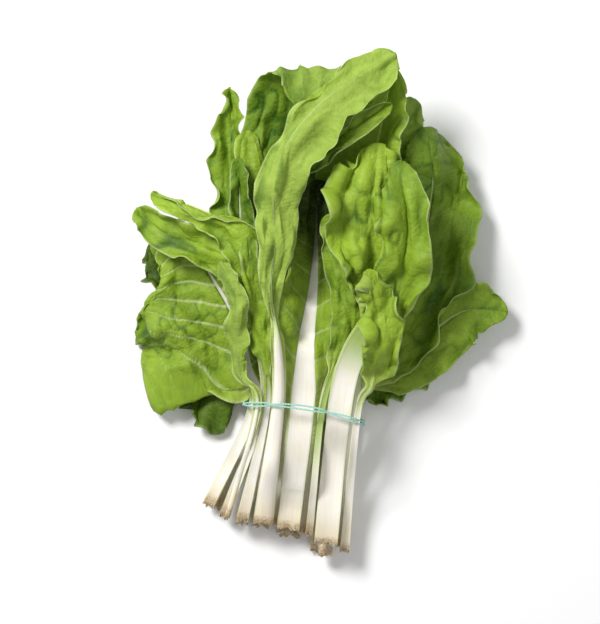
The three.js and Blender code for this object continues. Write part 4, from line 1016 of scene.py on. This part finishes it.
class Nodes:
    """Short names for making a material's nodes and joining them."""

    def __init__(self, name):
        self.material = bpy.data.materials.new(name)
        self.material.use_nodes = True
        self.tree = self.material.node_tree
        self.shader = self.tree.nodes["Principled BSDF"]
        self.output = self.tree.nodes["Material Output"]

    def add(self, kind, **settings):
        node = self.tree.nodes.new("ShaderNode" + kind)
        for key, value in settings.items():
            setattr(node, key, value)
        return node

    def put(self, node, inputs):
        """Gives a node's inputs their values, or joins the sockets that they come from."""
        for key, value in inputs.items():
            if isinstance(value, bpy.types.NodeSocket):
                self.tree.links.new(value, node.inputs[key])
            else:
                node.inputs[key].default_value = value
        return node

    def look(self, **inputs):
        """Sets the shader's inputs, whose names have spaces for underlines."""
        self.put(self.shader, {key.replace("_", " "): value for key, value in inputs.items()})

    def fact(self, key):
        node = self.add("Attribute", attribute_name=key)
        return node.outputs["Vector" if key == "place" else "Fac"]

    def maths(self, operation, a, b, clamp=False):
        return self.put(self.add("Math", operation=operation, use_clamp=clamp), {0: a, 1: b}).outputs[0]

    def times(self, a, b):
        return self.maths("MULTIPLY", a, b)

    def plus(self, a, b, clamp=False):
        return self.maths("ADD", a, b, clamp)

    def minus(self, a, b):
        return self.maths("SUBTRACT", a, b)

    def larger(self, a, b):
        return self.maths("MAXIMUM", a, b)

    def between(self, value, low, high, to_low=0.0, to_high=1.0):
        """Takes low to to_low and high to to_high, smoothly."""
        node = self.add("MapRange", interpolation_type="SMOOTHSTEP")
        ends = {"From Min": low, "From Max": high, "To Min": to_low, "To Max": to_high}
        return self.put(node, {"Value": value, **ends}).outputs[0]

    def blend(self, share, a, b):
        """The mix of two colours. A colour is a socket or a code."""
        a, b = (colour(c) if isinstance(c, str) else c for c in (a, b))
        return self.put(self.add("Mix", data_type="RGBA"), {0: share, 6: a, 7: b}).outputs[2]

    def paint(self, base, *layers):
        """A colour with others laid over it in turn, each by its share."""
        for share, paint in layers:
            base = self.blend(share, base, paint)
        return base

    def noise(self, place, scale, detail=3.0, stretch=(1, 1, 1)):
        mapping = self.put(self.add("Mapping"), {"Vector": place, "Scale": stretch})
        inputs = {"Vector": mapping.outputs[0], "Scale": scale, "Detail": detail}
        return self.put(self.add("TexNoise"), inputs).outputs["Fac"]

    def net(self, place, scale):
        """Distance to the borders of irregular cells, scale of them to a millimetre."""
        node = self.add("TexVoronoi", feature="DISTANCE_TO_EDGE")
        return self.put(node, {"Vector": place, "Scale": scale}).outputs["Distance"]

    def bump(self, height, strength, distance):
        inputs = {"Height": height, "Strength": strength, "Distance": distance}
        return self.put(self.add("Bump"), inputs).outputs["Normal"]


def lamina(n, back, fine):
    """The blade's colour between its veins: deeper in front, paler and duller behind, with painted shade in
    its creases and deep inside the bunch, and painted light on its ridges.
    """
    hollow, along = n.fact("hollow"), n.fact("t")
    tone = n.plus(n.fact("tone"), n.times(n.minus(n.noise(n.fact("place"), 0.03), 0.5), 0.9))
    # Painted light and shade: ridges lighter and yellower, creases deeper green
    tone = n.plus(tone, n.between(hollow, 0, 1, -0.2, 0.6), clamp=True)
    front = n.blend(tone, "#A1C035", "#456E0A")
    behind = n.blend(tone, "#AAC552", "#799B31")
    return n.paint(
        n.blend(back, front, behind),
        (n.between(fine, 0.42, 0.75, 0, 0.25), "#557F1C"),
        # Painted shade in creases
        (n.between(hollow, 0.35, 1, 0, 0.35), "#2F4A0A"),
        # Painted shade deep inside the bunch
        (n.fact("dark"), "#16290A"),
        (n.between(along, 0, 0.22, 0.55, 0), "#C3CF6B"),
        (n.between(along, -0.4, 0.06, 0.85, 0), "#DFE5B4"),
    )


def vein_nets(n, place):
    """How far a point is from the small veins, and how much it is on them or on the smallest ones."""
    wobble = n.put(n.add("TexNoise"), {"Vector": place, "Scale": 0.25})
    warped = n.put(n.add("VectorMath", operation="ADD"), {0: place, 1: wobble.outputs["Color"]}).outputs[0]
    small, tiny = n.net(warped, 0.22), n.net(warped, 0.7)
    return small, n.larger(n.between(small, 0.07, 0), n.times(n.between(tiny, 0.09, 0), 0.45))


def leaf_green():
    """Green lamina that lets light through, with pale veins, a fine net of them and a pale thin margin."""
    n = Nodes("leaf_green")
    place, back = n.fact("place"), n.fact("back")
    fine = n.noise(place, 0.16, 4.0)
    small, net = vein_nets(n, place)
    pale = n.larger(n.times(n.between(n.fact("vein"), 0.25, 0.95), 0.75), n.times(n.fact("edge"), 0.45))
    # Pale veins and margin fade under the painted shade deep inside the bunch
    pale = n.times(pale, n.minus(1, n.fact("dark")))
    base = n.paint(lamina(n, back, fine), (n.times(net, 0.13), "#BFD474"), (pale, "#D6E2A6"))
    height = n.plus(n.minus(n.between(small, 0, 0.35), n.times(net, 0.4)), n.times(fine, 1.2))
    normal = n.bump(height, 0.35, 0.0007)
    roughness = n.plus(n.times(back, 0.12), n.between(fine, 0.3, 0.7, 0.46, 0.6))
    n.look(Base_Color=base, Roughness=roughness, Specular_IOR_Level=0.3, Normal=normal)
    shone = n.blend(0.35, base, "#A6D41E")
    glow = n.put(n.add("BsdfTranslucent"), {"Color": shone, "Normal": normal})
    both = n.put(n.add("MixShader"), {0: 0.24, 1: n.shader.outputs[0], 2: glow.outputs[0]})
    n.put(n.output, {"Surface": both.outputs[0]})
    return n.material


def stalk_white():
    """Moist white stalk with fine lengthwise fibres, green along the upper midrib, brown at the cut, and
    darkened by painted shade where its leaf lies deep inside the bunch.
    """
    n = Nodes("stalk_white")
    place = n.fact("place")
    fibres = n.noise(place, 1.0, 3.0, (0.9, 0.03, 1))
    clouds = n.noise(place, 0.05, 2.0)
    speck = n.noise(place, 0.9, 4.0)
    green = n.blend(n.fact("tone"), "#B4CC66", "#86A840")
    brown = n.blend(n.between(speck, 0.35, 0.65), "#C9B48F", "#8A6F4A")
    ragged = n.plus(n.fact("cut"), n.times(n.minus(speck, 0.5), 0.5))
    base = n.paint(
        "#F2EDE4",
        (n.between(fibres, 0.35, 0.7, 0, 0.3), "#E2DFCC"),
        (n.between(clouds, 0.45, 0.8, 0, 0.4), "#E4DFBC"),
        (n.times(n.fact("low"), 0.65), "#D2C29A"),
        (n.between(n.fact("side"), 0.8, 1, 0, 0.4), "#BFCB7E"),
        (n.times(n.fact("green"), 0.95), green),
        # Painted shade on the midrib deep inside the bunch
        (n.fact("dark"), "#2A3A14"),
        (n.between(ragged, 0.35, 0.95, 0, 0.85), brown),
    )
    normal = n.bump(n.plus(fibres, n.times(speck, 0.4)), 0.2, 0.0007)
    n.look(Base_Color=base, Roughness=n.between(fibres, 0.3, 0.7, 0.34, 0.46), Normal=normal)
    n.look(Subsurface_Weight=0.6, Subsurface_Radius=(1.0, 0.9, 0.6), Subsurface_Scale=0.004)
    return n.material


def tie_turquoise():
    """Matte turquoise elastic with a fine knitted bump."""
    n = Nodes("tie_turquoise")
    fibres = n.noise(n.fact("place"), 2.5, 2.0)
    base = n.blend(n.between(fibres, 0.35, 0.65), "#86C9BA", "#C6E8E0")
    roughness = n.between(fibres, 0.3, 0.7, 0.5, 0.7)
    n.look(Base_Color=base, Roughness=roughness, Normal=n.bump(fibres, 0.5, 0.0003))
    return n.material


def white_paper():
    n = Nodes("floor")
    n.look(Base_Color=colour("#FAFAFA"), Roughness=0.9, Specular_IOR_Level=0.1)
    return n.material


blade_material, stalk_material, tie_material = leaf_green(), stalk_white(), tie_turquoise()

# ---- The bunch ----

for leaf in LEAVES:
    lift = read_lifts(leaf)
    points, middle, r, facts = fine_blade(leaf, lift)
    raised = settle(points)
    blade_piece(leaf, points, middle, r, facts)
    pile_up(points)
    pile_up(stalk_piece(leaf, lift, (r[:, 0], raised[:, middle])))
tie_piece()

# ---- Floor and light ----

FLOOR_HALF = 6

floor = bpy.data.objects.new("floor", bpy.data.meshes.new("floor"))
corners = [(x * FLOOR_HALF, y * FLOOR_HALF, 0) for x, y in ((-1, -1), (1, -1), (1, 1), (-1, 1))]
floor.data.from_pydata(corners, [], [(0, 1, 2, 3)])
bpy.context.collection.objects.link(floor)
floor.data.materials.append(white_paper())


def lamp(name, place, size, power):
    light = bpy.data.lights.new(name, "AREA")
    light.size, light.energy = size, power
    made = bpy.data.objects.new(name, light)
    made.location = place
    made.rotation_euler = (-Vector(place)).to_track_quat("-Z", "Y").to_euler()
    bpy.context.collection.objects.link(made)


lamp("key", (-0.9, 0.9, 1.5), 0.6, 40)
lamp("fill", (1.2, -0.6, 1.6), 1.6, 6)
world = bpy.data.worlds.new("studio")
world.use_nodes = True
sky = world.node_tree.nodes["Background"].inputs
sky["Color"].default_value = (1, 1, 1, 1)
sky["Strength"].default_value = 0.36
bpy.context.scene.world = world
bpy.context.scene.view_settings.view_transform = "Standard"
